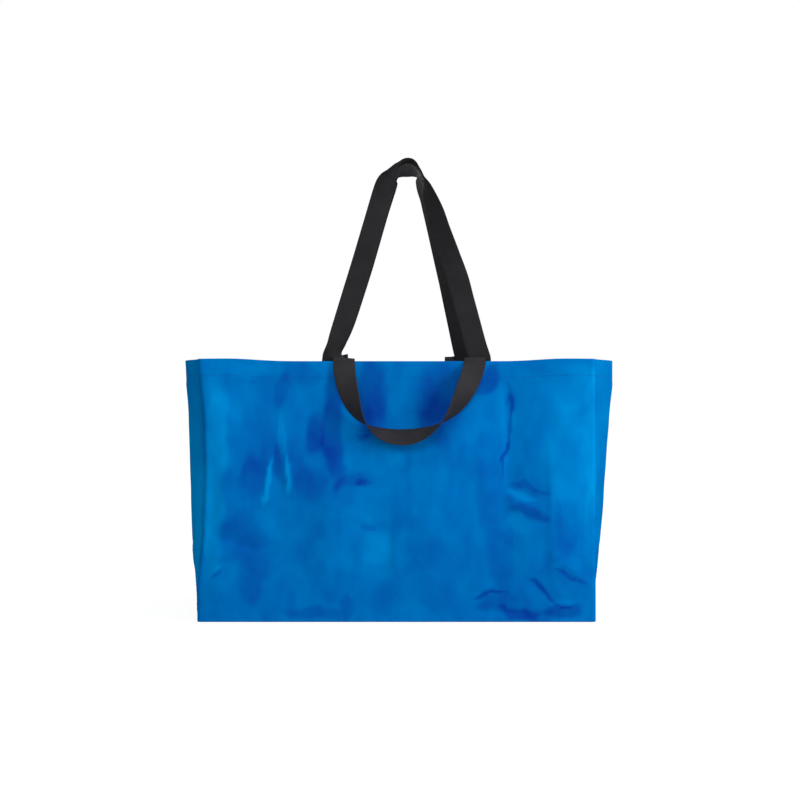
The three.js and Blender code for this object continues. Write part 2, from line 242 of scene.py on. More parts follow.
CREASES = (
    Crease(Face.FRONT, -183, 240, -180, 160, 1.2, 3.0, 9.0),
    Crease(Face.FRONT, -160, 300, -152, 176, 1.4, 3.5, 12.0),
    Crease(Face.FRONT, -104, 164, -88, 160, 0.9, 3.0, 6.0),
    Crease(Face.FRONT, -256, 91, -232, 88, 1.0, 3.0, 7.0),
    Crease(Face.FRONT, -2, 160, -3, 76, 1.1, 3.0, 12.0),
    Crease(Face.FRONT, 151, 326, 153, 182, -1.8, 3.0, 14.0),
    Crease(Face.FRONT, 153, 183, 186, 171, -1.7, 3.0, 9.0),
    Crease(Face.FRONT, 154, 180, 166, 152, 1.3, 3.0, 8.0),
    Crease(Face.FRONT, 158, 158, 206, 148, 1.2, 3.5, 8.0),
    Crease(Face.FRONT, 180, 56, 214, 30, -1.5, 3.0, 8.0),
    Crease(Face.FRONT, 214, 30, 254, 31, -1.3, 3.0, 7.0),
    Crease(Face.FRONT, 216, 92, 270, 48, 1.4, 3.0, 9.0),
    Crease(Face.FRONT, 102, 41, 150, 38, -0.9, 3.0, 7.0),
    Crease(Face.FRONT, 105, 160, 106, 132, 0.9, 3.0, 8.0),
    Crease(Face.FRONT, 105, 74, 104, 42, 0.8, 3.0, 8.0),
    Crease(Face.FRONT, 211, 246, 214, 60, 1.6, 4.0, 16.0),
    Crease(Face.FRONT, -248, 116, -196, 100, -1.5, 6.0, 12.0),
    Crease(Face.FRONT, 118, 16, 204, 8, -1.4, 5.0, 12.0),
    Crease(Face.BACK, -190, 310, -180, 170, -1.6, 3.0, 12.0),
    Crease(Face.BACK, -60, 200, 10, 120, 1.3, 3.0, 10.0),
    Crease(Face.BACK, 90, 300, 110, 150, -1.5, 3.0, 12.0),
    Crease(Face.BACK, 200, 180, 250, 90, 1.4, 3.0, 10.0),
    Crease(Face.BACK, -250, 120, -170, 60, -1.4, 3.0, 9.0),
    Crease(Face.BACK, 20, 60, 120, 40, 1.1, 3.0, 8.0),
)

DENTS = (
    Dent(Face.FRONT, -116, 258, 10, 6, -1.3, 40),
    Dent(Face.FRONT, -48, 189, 9, 6, -1.2, -30),
    Dent(Face.FRONT, -43, 251, 8, 5, -1.1, 20),
    Dent(Face.FRONT, -43, 131, 12, 8, -1.2, 10),
    Dent(Face.FRONT, -26, 128, 22, 52, 1.8, 0),
    Dent(Face.FRONT, 168, 166, 12, 10, 1.4, 35),
    Dent(Face.FRONT, -222, 108, 26, 12, -1.8, -15),
    Dent(Face.BACK, -110, 220, 14, 9, -1.4, 30),
    Dent(Face.BACK, 60, 180, 16, 22, 1.6, -20),
    Dent(Face.BACK, 160, 240, 12, 8, -1.3, 50),
)


@dataclass(frozen=True)
class PhotoScale:
    """How the front panel lies in the photograph of 800 by 800 pixels, which looks at it square on."""

    column: float = 400
    row: float = 400
    x: float = 4.8
    z: float = 306
    pixel: float = 1.378
    fine: float = 4

    def place(self, column: float, row: float) -> tuple[int, int]:
        """The place on the panel that a pixel shows, to the nearest millimetre.

        Args:
            column: Pixels from the photograph's left edge.
            row: Pixels from its top edge.

        Returns:
            The place across the panel and its height.
        """
        x = self.x + (column - self.column) * self.pixel
        z = self.z + (self.row - row) * self.pixel
        return round(x), round(z)

    def size(self, pixels: float) -> float:
        """A size on the panel, to the nearest millimetre, or to a tenth where it is fine.

        Args:
            pixels: The size in the photograph.

        Returns:
            The size in millimetres.
        """
        return round(pixels * self.pixel, 0 if pixels > self.fine else 1)


PHOTO_SCALE = PhotoScale()


@dataclass(frozen=True)
class PaintedLightPatch:
    """A patch of painted light in the front panel's film colour, a highlight where its tone is above 0 and
    shade below, turned in degrees.
    """

    x: float
    z: float
    wide: float
    tall: float
    tone: float
    angle: float

    @classmethod
    def seen(
        cls, *, column: float, row: float, wide: float, tall: float, tone: float, angle: float = 0,
    ) -> "PaintedLightPatch":
        """A patch by its place and half sizes in the photograph's pixels.

        Args:
            column: Its middle, from the photograph's left edge.
            row: Its middle, from the top edge.
            wide: Half its width.
            tall: Half its height.
            tone: How much painted highlight lightens the film, or painted shade darkens it below 0.
            angle: How far it is turned, in degrees.

        Returns:
            The patch in millimetres.
        """
        x, z = PHOTO_SCALE.place(column, row)
        return cls(x, z, PHOTO_SCALE.size(wide), PHOTO_SCALE.size(tall), tone, angle)

    def share(self, x: np.ndarray, z: np.ndarray) -> np.ndarray:
        """How much of the patch each place has, with a soft edge round a flat middle.

        Args:
            x: Places across the panel.
            z: Heights.

        Returns:
            A share for each place.
        """
        turn = math.radians(self.angle)
        u = (x - self.x) * math.cos(turn) + (z - self.z) * math.sin(turn)
        v = (z - self.z) * math.cos(turn) - (x - self.x) * math.sin(turn)
        return np.exp(-0.7 * ((u / self.wide) ** 2 + (v / self.tall) ** 2) ** 3.2)


# Painted highlights and painted shade on the front film, with the painted shadows that the hand strap's
# strands cast inside its loop.
PAINTED_LIGHT_PATCHES = (
    PaintedLightPatch(-253, 205, 17, 130, 0.75, 0),
    PaintedLightPatch(-150, 250, 64, 84, -0.16, 0),
    PaintedLightPatch.seen(column=240, row=403, wide=17, tall=22, tone=0.22),
    PaintedLightPatch.seen(column=247, row=370, wide=20, tall=8, tone=0.3),
    PaintedLightPatch.seen(column=297, row=377, wide=22, tall=12, tone=-0.45),
    PaintedLightPatch.seen(column=280, row=390, wide=8, tall=14, tone=-0.35),
    PaintedLightPatch.seen(column=317, row=432, wide=9, tall=18, tone=-0.6),
    PaintedLightPatch(-87, 268, 14, 80, -0.78, 0),
    PaintedLightPatch(-66, 192, 28, 9, -0.4, 12),
    PaintedLightPatch.seen(column=282, row=430, wide=5, tall=22, tone=0.5),
    PaintedLightPatch.seen(column=265, row=478, wide=2.4, tall=26, tone=1.1),
    PaintedLightPatch.seen(column=286, row=473, wide=2.7, tall=20, tone=1.1),
    PaintedLightPatch.seen(column=252, row=477, wide=10, tall=26, tone=-0.55),
    PaintedLightPatch.seen(column=275, row=463, wide=6, tall=16, tone=-0.45),
    PaintedLightPatch.seen(column=307, row=483, wide=16, tall=20, tone=-0.4),
    PaintedLightPatch.seen(column=298, row=450, wide=12, tall=12, tone=-0.3),
    PaintedLightPatch(-216, 120, 30, 31, -0.42, -20),
    PaintedLightPatch.seen(column=260, row=563, wide=14, tall=14, tone=-0.35),
    PaintedLightPatch.seen(column=216, row=570, wide=7, tall=3.5, tone=-0.7, angle=35),
    PaintedLightPatch.seen(column=217, row=565, wide=7, tall=2, tone=0.5, angle=35),
    PaintedLightPatch.seen(column=287, row=523, wide=30, tall=22, tone=0.12),
    PaintedLightPatch(-33, 318, 24, 64, -0.85, 0),
    PaintedLightPatch.seen(column=407, row=380, wide=16, tall=12, tone=0.1),
    PaintedLightPatch(62, 314, 33, 58, -0.85, -18),
    PaintedLightPatch.seen(column=486, row=378, wide=11, tall=20, tone=-0.9, angle=-30),
    PaintedLightPatch.seen(column=387, row=460, wide=18, tall=16, tone=0.35),
    PaintedLightPatch.seen(column=463, row=427, wide=20, tall=18, tone=0.15),
    PaintedLightPatch.seen(column=363, row=439, wide=8, tall=4.5, tone=-0.5),
    PaintedLightPatch.seen(column=362, row=485, wide=10, tall=4.5, tone=-0.6),
    PaintedLightPatch.seen(column=365, row=530, wide=8, tall=4.5, tone=-0.4, angle=-10),
    PaintedLightPatch.seen(column=375, row=548, wide=17, tall=14, tone=0.45),
    PaintedLightPatch.seen(column=373, row=507, wide=20, tall=16, tone=0.25),
    PaintedLightPatch.seen(column=427, row=553, wide=22, tall=18, tone=-0.3),
    PaintedLightPatch.seen(column=413, row=570, wide=12, tall=8, tone=-0.2),
    PaintedLightPatch.seen(column=490, row=460, wide=12, tall=70, tone=-0.2),
    PaintedLightPatch.seen(column=500, row=563, wide=14, tall=30, tone=-0.35),
    PaintedLightPatch.seen(column=508, row=427, wide=2.2, tall=48, tone=-0.9),
    PaintedLightPatch.seen(column=508, row=403, wide=6, tall=12, tone=-0.4),
    PaintedLightPatch.seen(column=532, row=487, wide=14, tall=3, tone=-0.5),
    PaintedLightPatch.seen(column=527, row=497, wide=14, tall=4, tone=0.6, angle=-8),
    PaintedLightPatch.seen(column=533, row=512, wide=15, tall=6, tone=-0.6, angle=-20),
    PaintedLightPatch.seen(column=523, row=524, wide=10, tall=12, tone=0.4),
    PaintedLightPatch(243, 227, 36, 92, 0.55, 0),
    PaintedLightPatch.seen(column=594, row=450, wide=9, tall=110, tone=0.5),
    PaintedLightPatch.seen(column=573, row=383, wide=30, tall=24, tone=0.4),
    PaintedLightPatch.seen(column=567, row=530, wide=10, tall=30, tone=-0.3),
    PaintedLightPatch.seen(column=557, row=510, wide=4, tall=16, tone=-0.25),
    PaintedLightPatch.seen(column=517, row=615, wide=22, tall=6, tone=-1),
    PaintedLightPatch.seen(column=563, row=608, wide=17, tall=8, tone=-0.75),
    PaintedLightPatch.seen(column=540, row=590, wide=16, tall=2.5, tone=-0.9, angle=-38),
    PaintedLightPatch.seen(column=563, row=600, wide=12, tall=2.2, tone=-0.7),
    PaintedLightPatch.seen(column=533, row=598, wide=12, tall=5, tone=0.3, angle=-38),
    PaintedLightPatch.seen(column=573, row=580, wide=18, tall=2.5, tone=-0.6, angle=-25),
    PaintedLightPatch.seen(column=573, row=567, wide=16, tall=6, tone=0.25),
    PaintedLightPatch.seen(column=490, row=595, wide=16, tall=2.2, tone=-0.9, angle=-5),
    PaintedLightPatch.seen(column=497, row=605, wide=18, tall=8, tone=-0.5),
    PaintedLightPatch.seen(column=313, row=612, wide=30, tall=7, tone=-0.45),
    PaintedLightPatch.seen(column=347, row=607, wide=5, tall=12, tone=-0.4),
    PaintedLightPatch.seen(column=253, row=590, wide=14, tall=12, tone=-0.25),
)


@dataclass
class BagShell:
    """The folded sheet: base, two wide panels, two side panels and the hem round the mouth."""

    base_width: float = 550.0
    base_depth: float = 200.0
    height: float = 360.0
    wall: float = 0.6
    base_edge_radius: float = 1.4
    corner_radius: float = 5.0
    mouth_width: float = 544.0
    mouth_depth: float = 190.0
    mouth_shift: float = 3.0
    side_flare: float = 34.0
    handle_pull: float = 14.0
    calm_band_width: float = 276.0
    pull_start: float = 150.0
    hem_depth: float = 26.0
    hem_gap: float = 0.4
    hem_calm_margin: float = 8.0
    rim_wave: float = 3.4
    rim_wave_place: float = 232.0
    rim_wave_spread: float = 60.0
    rim_corner_sag: float = -4.0
    left_belly: float = 10.0
    left_waist: float = 3.4
    right_belly: float = 4.6
    gusset_crease: float = 2.0
    gusset_spread: float = 14.0
    # Painted light on the side panels and the strength of the painted light on the front film.
    left_side_painted_light: float = 0.65
    left_side_painted_light_lift: float = 0.35
    right_side_painted_light: float = 0.5
    painted_light_strength: float = 0.8
    crease_strength: float = 1.15
    front_columns: int = 184
    back_columns: int = 104
    side_columns: int = 34
    corner_columns: int = 5
    wall_rows: int = 104

    @property
    def hem_line(self) -> float:
        """Height of the folded hem's lower end."""
        return self.height - self.hem_depth

    @property
    def calm_height(self) -> float:
        """Height above which the wall stands upright."""
        return self.hem_line - self.hem_calm_margin

    @property
    def hem_thickness(self) -> float:
        """Thickness of the two layers and the gap between them."""
        return 2 * self.wall + self.hem_gap

    @property
    def patch_outer(self) -> float:
        """Distance from the XZ plane to the outside of the band that the handles are sewn to."""
        return self.mouth_depth / 2 - self.handle_pull

    def opened(self, z: np.ndarray) -> np.ndarray:
        """Share of the change from the base's plan to the mouth's."""
        return np.clip(np.asarray(z, float) / self.calm_height, 0.0, 1.0)

    def half_width(self, z: np.ndarray) -> np.ndarray:
        """Half the distance between the upright corners."""
        return (self.base_width + (self.mouth_width - self.base_width) * self.opened(z)) / 2

    def half_depth(self, z: np.ndarray) -> np.ndarray:
        """Half the distance between the wide panels at the corners."""
        return (self.base_depth + (self.mouth_depth - self.base_depth) * self.opened(z)) / 2

    def shift(self, z: np.ndarray) -> np.ndarray:
        """How far the plan has moved to the right."""
        return self.mouth_shift * self.opened(z)

    def bow(self, z: np.ndarray) -> np.ndarray:
        """How far the front left corner bows out. It lies in at half height and out at the rim."""
        return np.interp(z, (0, 50, 120, 210, 283, 330, self.height), (0, 1, -6, -7, -3, 3, 6))

    def fade(self, z: np.ndarray, from_corner: np.ndarray, foot: float) -> np.ndarray:
        """Share of a fold that is left near the base, the hem and the corners."""
        top = 1 - smoothstep(self.calm_height - 50, self.calm_height, z)
        return smoothstep(0, foot, z) * top * smoothstep(0, 28, from_corner)

    def relief(self, face: Face, x: np.ndarray, z: np.ndarray) -> np.ndarray:
        """How far a wide panel stands out from its plain form.

        Args:
            face: Which panel.
            x: Places across it.
            z: Heights.

        Returns:
            Millimetres, positive outwards.
        """
        from_corner = self.half_width(z) - np.abs(x - self.shift(z))
        broad = np.zeros_like(x)
        for fold in SOFT_FOLDS:
            if fold.face is face:
                rise = z - fold.height * self.height
                across = x - self.shift(z) - fold.across * self.half_width(z) - fold.lean * rise
                broad = broad + fold.depth * bell(across, fold.spread) * bell(rise, fold.reach)
        seed = 11 if face is Face.FRONT else 37
        broad = broad + 1.3 * value_noise(x / 62 + 9, z / 120 + 5, seed)
        fine = 0.55 * value_noise(x / 24 + 20, z / 62 + 11, seed + 1)
        fine = fine + 0.22 * value_noise(x / 11 + 40, z / 26 + 21, seed + 2)
        for crease in CREASES:
            if crease.face is face:
                fine = fine + self.crease_relief(crease, x, z)
        for dent in DENTS:
            if dent.face is face:
                fine = fine + self.dent_relief(dent, x, z)
        below_hem = 1 - smoothstep(self.calm_height, self.hem_line, z)
        edge = smoothstep(0, 14, from_corner) * smoothstep(0, 14, z) * below_hem
        return broad * self.fade(z, from_corner, 45) + fine * edge

    def crease_relief(self, crease: Crease, x: np.ndarray, z: np.ndarray) -> np.ndarray:
        """Relief of one crease, cusped across its line and fading past its ends.

        Args:
            crease: The crease.
            x: Places across the panel.
            z: Heights.

        Returns:
            Millimetres, positive outwards.
        """
        run = np.array([crease.x1 - crease.x0, crease.z1 - crease.z0], float)
        length = float(np.hypot(*run))
        along = ((x - crease.x0) * run[0] + (z - crease.z0) * run[1]) / length
        across = ((z - crease.z0) * run[0] - (x - crease.x0) * run[1]) / length
        flank = np.where(across < 0, crease.flank, crease.other_flank)
        profile = np.exp(-np.sqrt((across / flank) ** 2 + 0.15) + math.sqrt(0.15))
        past = np.maximum(np.abs(along - length / 2) - length * 0.36, 0.0)
        return self.crease_strength * crease.depth * profile * bell(past, 0.10 * length + 4)

    @staticmethod
    def dent_relief(dent: Dent, x: np.ndarray, z: np.ndarray) -> np.ndarray:
        """Relief of one dent, with a crisp lower edge and a soft upper one.

        Args:
            dent: The dent.
            x: Places across the panel.
            z: Heights.

        Returns:
            Millimetres, positive outwards.
        """
        turn = math.radians(dent.angle)
        u = (x - dent.x) * math.cos(turn) + (z - dent.z) * math.sin(turn)
        v = (z - dent.z) * math.cos(turn) - (x - dent.x) * math.sin(turn)
        tall = np.where(v < 0, dent.tall * 0.5, dent.tall * 1.3)
        return dent.depth * bell(u, dent.wide) * bell(v, tall)

    def panel_reach(self, face: Face, x: np.ndarray, z: np.ndarray) -> np.ndarray:
        """Distance of a wide panel's outer face from the XZ plane.

        Args:
            face: Which panel.
            x: Places across it.
            z: Heights.

        Returns:
            Millimetres for each place.
        """
        from_middle = np.abs(x - self.shift(z))
        half = self.half_width(z) - self.corner_radius
        share = np.clip((from_middle - self.calm_band_width / 2) / (half - self.calm_band_width / 2), 0, 1)
        held = 1 - share * share * (3 - 2 * share)
        pull = self.handle_pull * smoothstep(self.pull_start, self.calm_height, z)
        return self.half_depth(z) - pull * held + self.relief(face, x, z)

    def side_reach(self, y: np.ndarray, z: np.ndarray, hand: Hand) -> np.ndarray:
        """Distance of a side panel's outer face from the upright middle plane.

        Args:
            y: Places across the panel.
            z: Heights.
            hand: Which side.

        Returns:
            Millimetres for each place.
        """
        half = self.half_depth(z) - self.corner_radius
        belly = self.side_flare * self.opened(z) * (1 + np.cos(np.pi * y / half)) / 2
        fade = smoothstep(0, 45, z) * (1 - smoothstep(self.calm_height - 50, self.calm_height, z))
        crease = self.gusset_crease * bell(y, self.gusset_spread) * fade
        inner = half - np.abs(y)
        fold_height = self.base_depth / 2
        gusset = 0.6 * bell(z - fold_height, 5) * smoothstep(0, 20, inner)
        diagonal = 1.4 * bell((z - (fold_height - np.abs(y))) / math.sqrt(2), 3.5) * smoothstep(0, 10, z)
        seed = 61 if hand is Hand.LEFT else 83
        waves = 1.6 * value_noise(y / 38 + 30, z / 75 + 9, seed)
        waves += 0.5 * value_noise(y / 15 + 7, z / 30 + 3, seed + 1)
        below_hem = 1 - smoothstep(self.calm_height, self.hem_line, z)
        edge = smoothstep(0, 16, inner) * smoothstep(0, 14, z) * below_hem
        reach = self.half_width(z) + belly - crease - gusset * fade + diagonal * edge + waves * edge
        if hand is Hand.LEFT:
            fuller = self.left_belly * smoothstep(0, 100, z) * (1 - smoothstep(100, 370, z))
            fuller = fuller - self.left_waist * bell(z - 310, 35)
        else:
            fuller = self.right_belly * smoothstep(20, 110, z) * (1 - smoothstep(205, 330, z))
        return reach + fuller * smoothstep(0, 40, inner) * smoothstep(0, 30, z)

    def outline(self, z: np.ndarray) -> np.ndarray:
        """Points of the outside, counter-clockwise from the front left corner.

        Args:
            z: One height for each row.

        Returns:
            An array of rows by columns by (x, y).
        """
        z = np.asarray(z, float)[:, None]
        bow = self.bow(z)
        parts = []

        def panel(face: Face, columns: int) -> np.ndarray:
            """Columns of one wide panel.

            Args:
                face: Which panel.
                columns: How many.

            Returns:
                Rows by columns by (x, y).
            """
            share = np.linspace(-1, 1, columns)[None, :]
            x = self.shift(z) - face.value * share * (self.half_width(z) - self.corner_radius)
            y = face.value * self.panel_reach(face, x, z + 0 * x)
            return np.stack([x, y], axis=-1)

        def side(hand: Hand) -> np.ndarray:
            """Columns of one side panel.

            Args:
                hand: Which side.

            Returns:
                Rows by columns by (x, y).
            """
            share = np.linspace(-1, 1, self.side_columns)[None, :]
            y = hand.value * share * (self.half_depth(z) - self.corner_radius)
            x = self.shift(z) + hand.value * self.side_reach(y, z + 0 * y, hand)
            return np.stack([x, y], axis=-1)

        def corner(hand: Hand, face: Face, rising: bool) -> np.ndarray:
            """Columns of one rounded upright corner.

            Args:
                hand: Which side.
                face: Which wide panel it joins.
                rising: Whether the turn starts at the wide panel.

            Returns:
                Rows by columns by (x, y).
            """
            share = np.arange(1, self.corner_columns + 1) / (self.corner_columns + 1)
            turn = (np.pi / 2 * (share if rising else 1 - share))[None, :]
            x = self.half_width(z) - self.corner_radius * (1 - np.sin(turn))
            y = self.half_depth(z) - self.corner_radius * (1 - np.cos(turn))
            return np.stack([self.shift(z) + hand.value * x, face.value * y], axis=-1)

        parts.append(panel(Face.FRONT, self.front_columns))
        parts.append(corner(Hand.RIGHT, Face.FRONT, True))
        parts.append(side(Hand.RIGHT))
        parts.append(corner(Hand.RIGHT, Face.BACK, False))
        parts.append(panel(Face.BACK, self.back_columns))
        parts.append(corner(Hand.LEFT, Face.BACK, True))
        parts.append(side(Hand.LEFT))
        parts.append(corner(Hand.LEFT, Face.FRONT, False))
        points = np.concatenate(parts, axis=1)
        x = points[..., 0]
        y = points[..., 1]
        near_left = smoothstep(-150, -self.base_width / 2, x) * smoothstep(20, -self.base_depth / 2, y)
        points[..., 0] = x - bow * near_left
        return points

    def rim_lift(self, x: np.ndarray, z: np.ndarray) -> np.ndarray:
        """How far the wall's points are lifted, so that the rim waves.

        Args:
            x: Places of the wall's points.
            z: Their plain heights.

        Returns:
            Millimetres, positive upwards.
        """
        from_middle = np.abs(x)
        crest = self.rim_wave * bell(from_middle - self.rim_wave_place, self.rim_wave_spread)
        crest = crest * smoothstep(self.calm_band_width / 2, self.rim_wave_place, from_middle)
        reach = self.mouth_width / 2 + self.side_flare
        sag = (self.rim_wave + self.rim_corner_sag) * smoothstep(self.rim_wave_place, reach, from_middle)
        return (crest - sag) * smoothstep(self.height / 2, self.calm_height, z)

    def section(self) -> list[tuple[float, float]]:
        """Stations of the wall's section, from the base up, over the rim and down the inside.

        Returns:
            A height and an inset from the outer face for each.
        """
        edge = self.base_edge_radius
        rim = self.hem_thickness / 2
        gap = self.hem_gap / 2
        stations = []
        for turn in np.linspace(0, math.pi / 2, 5):
            stations.append((edge * (1 - math.cos(turn)), edge * (1 - math.sin(turn))))
        wall = [edge + (self.calm_height - edge) * i / self.wall_rows for i in range(1, self.wall_rows + 1)]
        hem = [self.calm_height + (self.height - rim - self.calm_height) * i / 10 for i in range(1, 11)]
        stations += [(z, 0.0) for z in wall + hem]
        for turn in np.linspace(0, math.pi, 9)[1:]:
            stations.append((self.height - rim + rim * math.sin(turn), rim * (1 - math.cos(turn))))
        flap = [self.hem_line + (self.height - rim - self.hem_line) * i / 6 for i in range(6)]
        stations += [(z, self.hem_thickness) for z in reversed(flap)]
        stations += [(z, self.wall + self.hem_gap) for z in flap[::3] + [self.height - rim]]
        for turn in np.linspace(0, math.pi, 5)[1:]:
            stations.append((self.height - rim + gap * math.sin(turn), rim + gap * math.cos(turn)))
        stations += [(z, self.wall) for z in reversed(hem[:-1])]
        stations += [(z, self.wall) for z in reversed(wall)]
        stations.append((self.wall, self.wall))
        return stations

    def painted_light_and_mottle(self, points: np.ndarray) -> np.ndarray:
        """The painted highlights and painted shade in the film's colour, with random mottle.

        Args:
            points: One row of x, y, z for each point of the shell.

        Returns:
            A share for each point, from 0 to 1, with even film at 0.5.
        """
        x, y, z = points.T
        front = np.zeros_like(x)
        across = x + 8 * value_noise(x / 30 + 5, z / 38 + 2, 78)
        across = across + 3.5 * value_noise(x / 11 + 8, z / 14 + 4, 79)
        up = z + 9 * value_noise(x / 34 + 1, z / 30 + 7, 80)
        up = up + 3.5 * value_noise(x / 12 + 2, z / 12 + 6, 81)
        # Painted highlights, painted shade and painted strap shadows from the patches.
        for patch in PAINTED_LIGHT_PATCHES:
            front += self.painted_light_strength * patch.tone * patch.share(across, up)
        front += 0.12 * value_noise(x / 26 + 12, z / 34 + 8, 71)
        front += 0.07 * value_noise(x / 9 + 31, z / 17 + 5, 72)
        slant = x + 0.6 * z + 14 * value_noise(x / 40 + 3, z / 40 + 2, 77)
        front += 0.08 * np.tanh(5 * value_noise(slant / 34 + 6, z / 46 + 4, 75))
        front += 0.05 * np.tanh(6 * value_noise(x / 13 + 16, (z - 0.4 * x) / 24 + 9, 76))
        plain = 0.35 * value_noise(x / 60 + 20, z / 80 + 9, 73)
        plain += 0.2 * value_noise(x / 20 + 30, z / 28 + 5, 74)
        # Painted light on the side panels, the left one lighter towards the base.
        left = self.left_side_painted_light + self.left_side_painted_light_lift * smoothstep(260, 120, z)
        sides = plain + np.where(x < 0, left, self.right_side_painted_light)
        at_front = smoothstep(-0.35 * self.base_depth, -0.42 * self.base_depth, y)
        at_back = smoothstep(0.35 * self.base_depth, 0.42 * self.base_depth, y)
        tone = front * at_front + plain * at_back + sides * (1 - at_front - at_back)
        return np.clip(0.5 + 0.5 * tone, 0, 1)

    def build(self, name: str) -> bpy.types.Object:
        """Make the whole shell as one closed mesh.

        Args:
            name: Name of the object.

        Returns:
            The shell, with a map that follows the sheet in metres.
        """
        stations = self.section()
        z = np.array([station[0] for station in stations])
        inset = np.array([station[1] for station in stations])
        outline = self.outline(z)
        lifted = z[:, None] + self.rim_lift(outline[..., 0], z[:, None])
        along = np.roll(outline, -1, axis=1) - np.roll(outline, 1, axis=1)
        along /= np.linalg.norm(along, axis=-1, keepdims=True)
        above = self.outline(np.minimum(z + 1.0, self.height))
        below = self.outline(np.maximum(z - 1.0, 0.0))
        lean = (above - below) / 2.0
        inward = np.stack([-along[..., 1], along[..., 0]], axis=-1)
        slope = np.sum(lean * inward, axis=-1)
        rows, columns = outline.shape[:2]
        points = np.empty((rows, columns, 3))
        points[..., :2] = outline + inward * (inset[:, None] * np.sqrt(1.0 + slope ** 2))[..., None]
        points[..., 2] = lifted
        steps = np.linalg.norm(np.roll(outline, -1, axis=1) - outline, axis=-1)
        run = np.concatenate([np.zeros((rows, 1)), np.cumsum(steps, axis=1)[:, :-1]], axis=1)
        run = run[rows // 4][None, :] + 0 * run
        uv = np.stack([run * MM, points[..., 2] * MM], axis=-1).reshape(-1, 2)
        faces = grid_faces(rows, columns, True)
        flat = points.reshape(-1, 3)
        flat, uv, faces = self.close_base(flat, uv, faces, 0, columns, 0.0, False)
        flat, uv, faces = self.close_base(flat, uv, faces, (rows - 1) * columns, columns, self.wall, True)
        LOG.info("shell of %d by %d points", rows, columns)
        shell = make_object(name, flat, faces, uv)
        layer = shell.data.attributes.new("painted_light_and_mottle", "FLOAT", "POINT")
        layer.data.foreach_set("value", self.painted_light_and_mottle(flat).astype(np.float32))
        return shell

    @staticmethod
    def close_base(points: np.ndarray, uv: np.ndarray, faces: list, first: int, columns: int,
                   z: float, upwards: bool) -> tuple[np.ndarray, np.ndarray, list]:
        """Close one ring of the sheet with rings that shrink to its middle.

        Args:
            points: The points so far.
            uv: Their map.
            faces: The faces so far.
            first: Number of the ring's first point.
            columns: Number of points in the ring.
            z: Height of the base there.
            upwards: Whether the faces look up.

        Returns:
            The points, map and faces with the base added.
        """
        ring = points[first:first + columns]
        start = first
        for share in (0.6, 0.25):
            inner = ring * share
            inner[:, 2] = z
            number = len(points)
            points = np.concatenate([points, inner])
            uv = np.concatenate([uv, inner[:, :2] * MM])
            for i in range(columns):
                j = (i + 1) % columns
                quad = [start + i, start + j, number + j, number + i]
                faces.append(quad if upwards else quad[::-1])
            start = number
        middle = len(points)
        points = np.concatenate([points, [[0.0, 0.0, z]]])
        uv = np.concatenate([uv, [[0.0, 0.0]]])
        for i in range(columns):
            j = (i + 1) % columns
            corner = [start + i, start + j, middle]
            faces.append(corner if upwards else corner[::-1])
        return points, uv, faces


# Webbing


@dataclass
class Webbing:
    """A woven strap that follows stations of a middle point and a width direction."""

    width: float = 30.0
    thickness: float = 1.3
    cup: float = 0.5
    face_points: int = 11
    edge_points: int = 3

    def profile(self) -> np.ndarray:
        """Points of the strap's section, counter-clockwise.

        Returns:
            Rows of a place across the strap and one through it.
        """
        half = self.width / 2
        thick = self.thickness / 2
        flat = half - thick
        points = []
        for a in np.linspace(-flat, flat, self.face_points):
            points.append((a, -thick))
        for turn in np.linspace(-math.pi / 2, math.pi / 2, self.edge_points + 2)[1:-1]:
            points.append((flat + thick * math.cos(turn), thick * math.sin(turn)))
        for a in np.linspace(flat, -flat, self.face_points):
            points.append((a, thick))
        for turn in np.linspace(math.pi / 2, 3 * math.pi / 2, self.edge_points + 2)[1:-1]:
            points.append((-flat + thick * math.cos(turn), thick * math.sin(turn)))
        return np.array(points)

    def build(self, name: str, middle: np.ndarray, across: np.ndarray, cup: np.ndarray) -> bpy.types.Object:
        """Make the strap.

        Args:
            name: Name of the object.
            middle: One point of the middle line for each station.
            across: The width direction at each station.
            cup: How far the strap's edges curl at each station.

        Returns:
            The strap, with a map of metres across and along it.
        """
        along = np.gradient(middle, axis=0)
        along /= np.linalg.norm(along, axis=1, keepdims=True)
        wide = across - along * np.sum(across * along, axis=1, keepdims=True)
        wide /= np.linalg.norm(wide, axis=1, keepdims=True)
        through = np.cross(along, wide)
        profile = self.profile()
        curl = cup[:, None] * ((profile[:, 0] / (self.width / 2)) ** 2)[None, :]
        points = (
            middle[:, None, :]
            + wide[:, None, :] * profile[None, :, 0, None]
            + through[:, None, :] * (profile[None, :, 1] + curl)[..., None]
        )
        rows, columns = points.shape[:2]
        steps = np.linalg.norm(np.diff(middle, axis=0), axis=1)
        run = np.concatenate([[0.0], np.cumsum(steps)])
        uv = np.empty((rows, columns, 2))
        uv[..., 0] = profile[None, :, 0] * MM
        uv[..., 1] = run[:, None] * MM
        faces = grid_faces(rows, columns, True)
        faces.append(list(range(columns))[::-1])
        last = (rows - 1) * columns
        faces.append(list(range(last, last + columns)))
        return make_object(name, points.reshape(-1, 3), faces, uv.reshape(-1, 2))


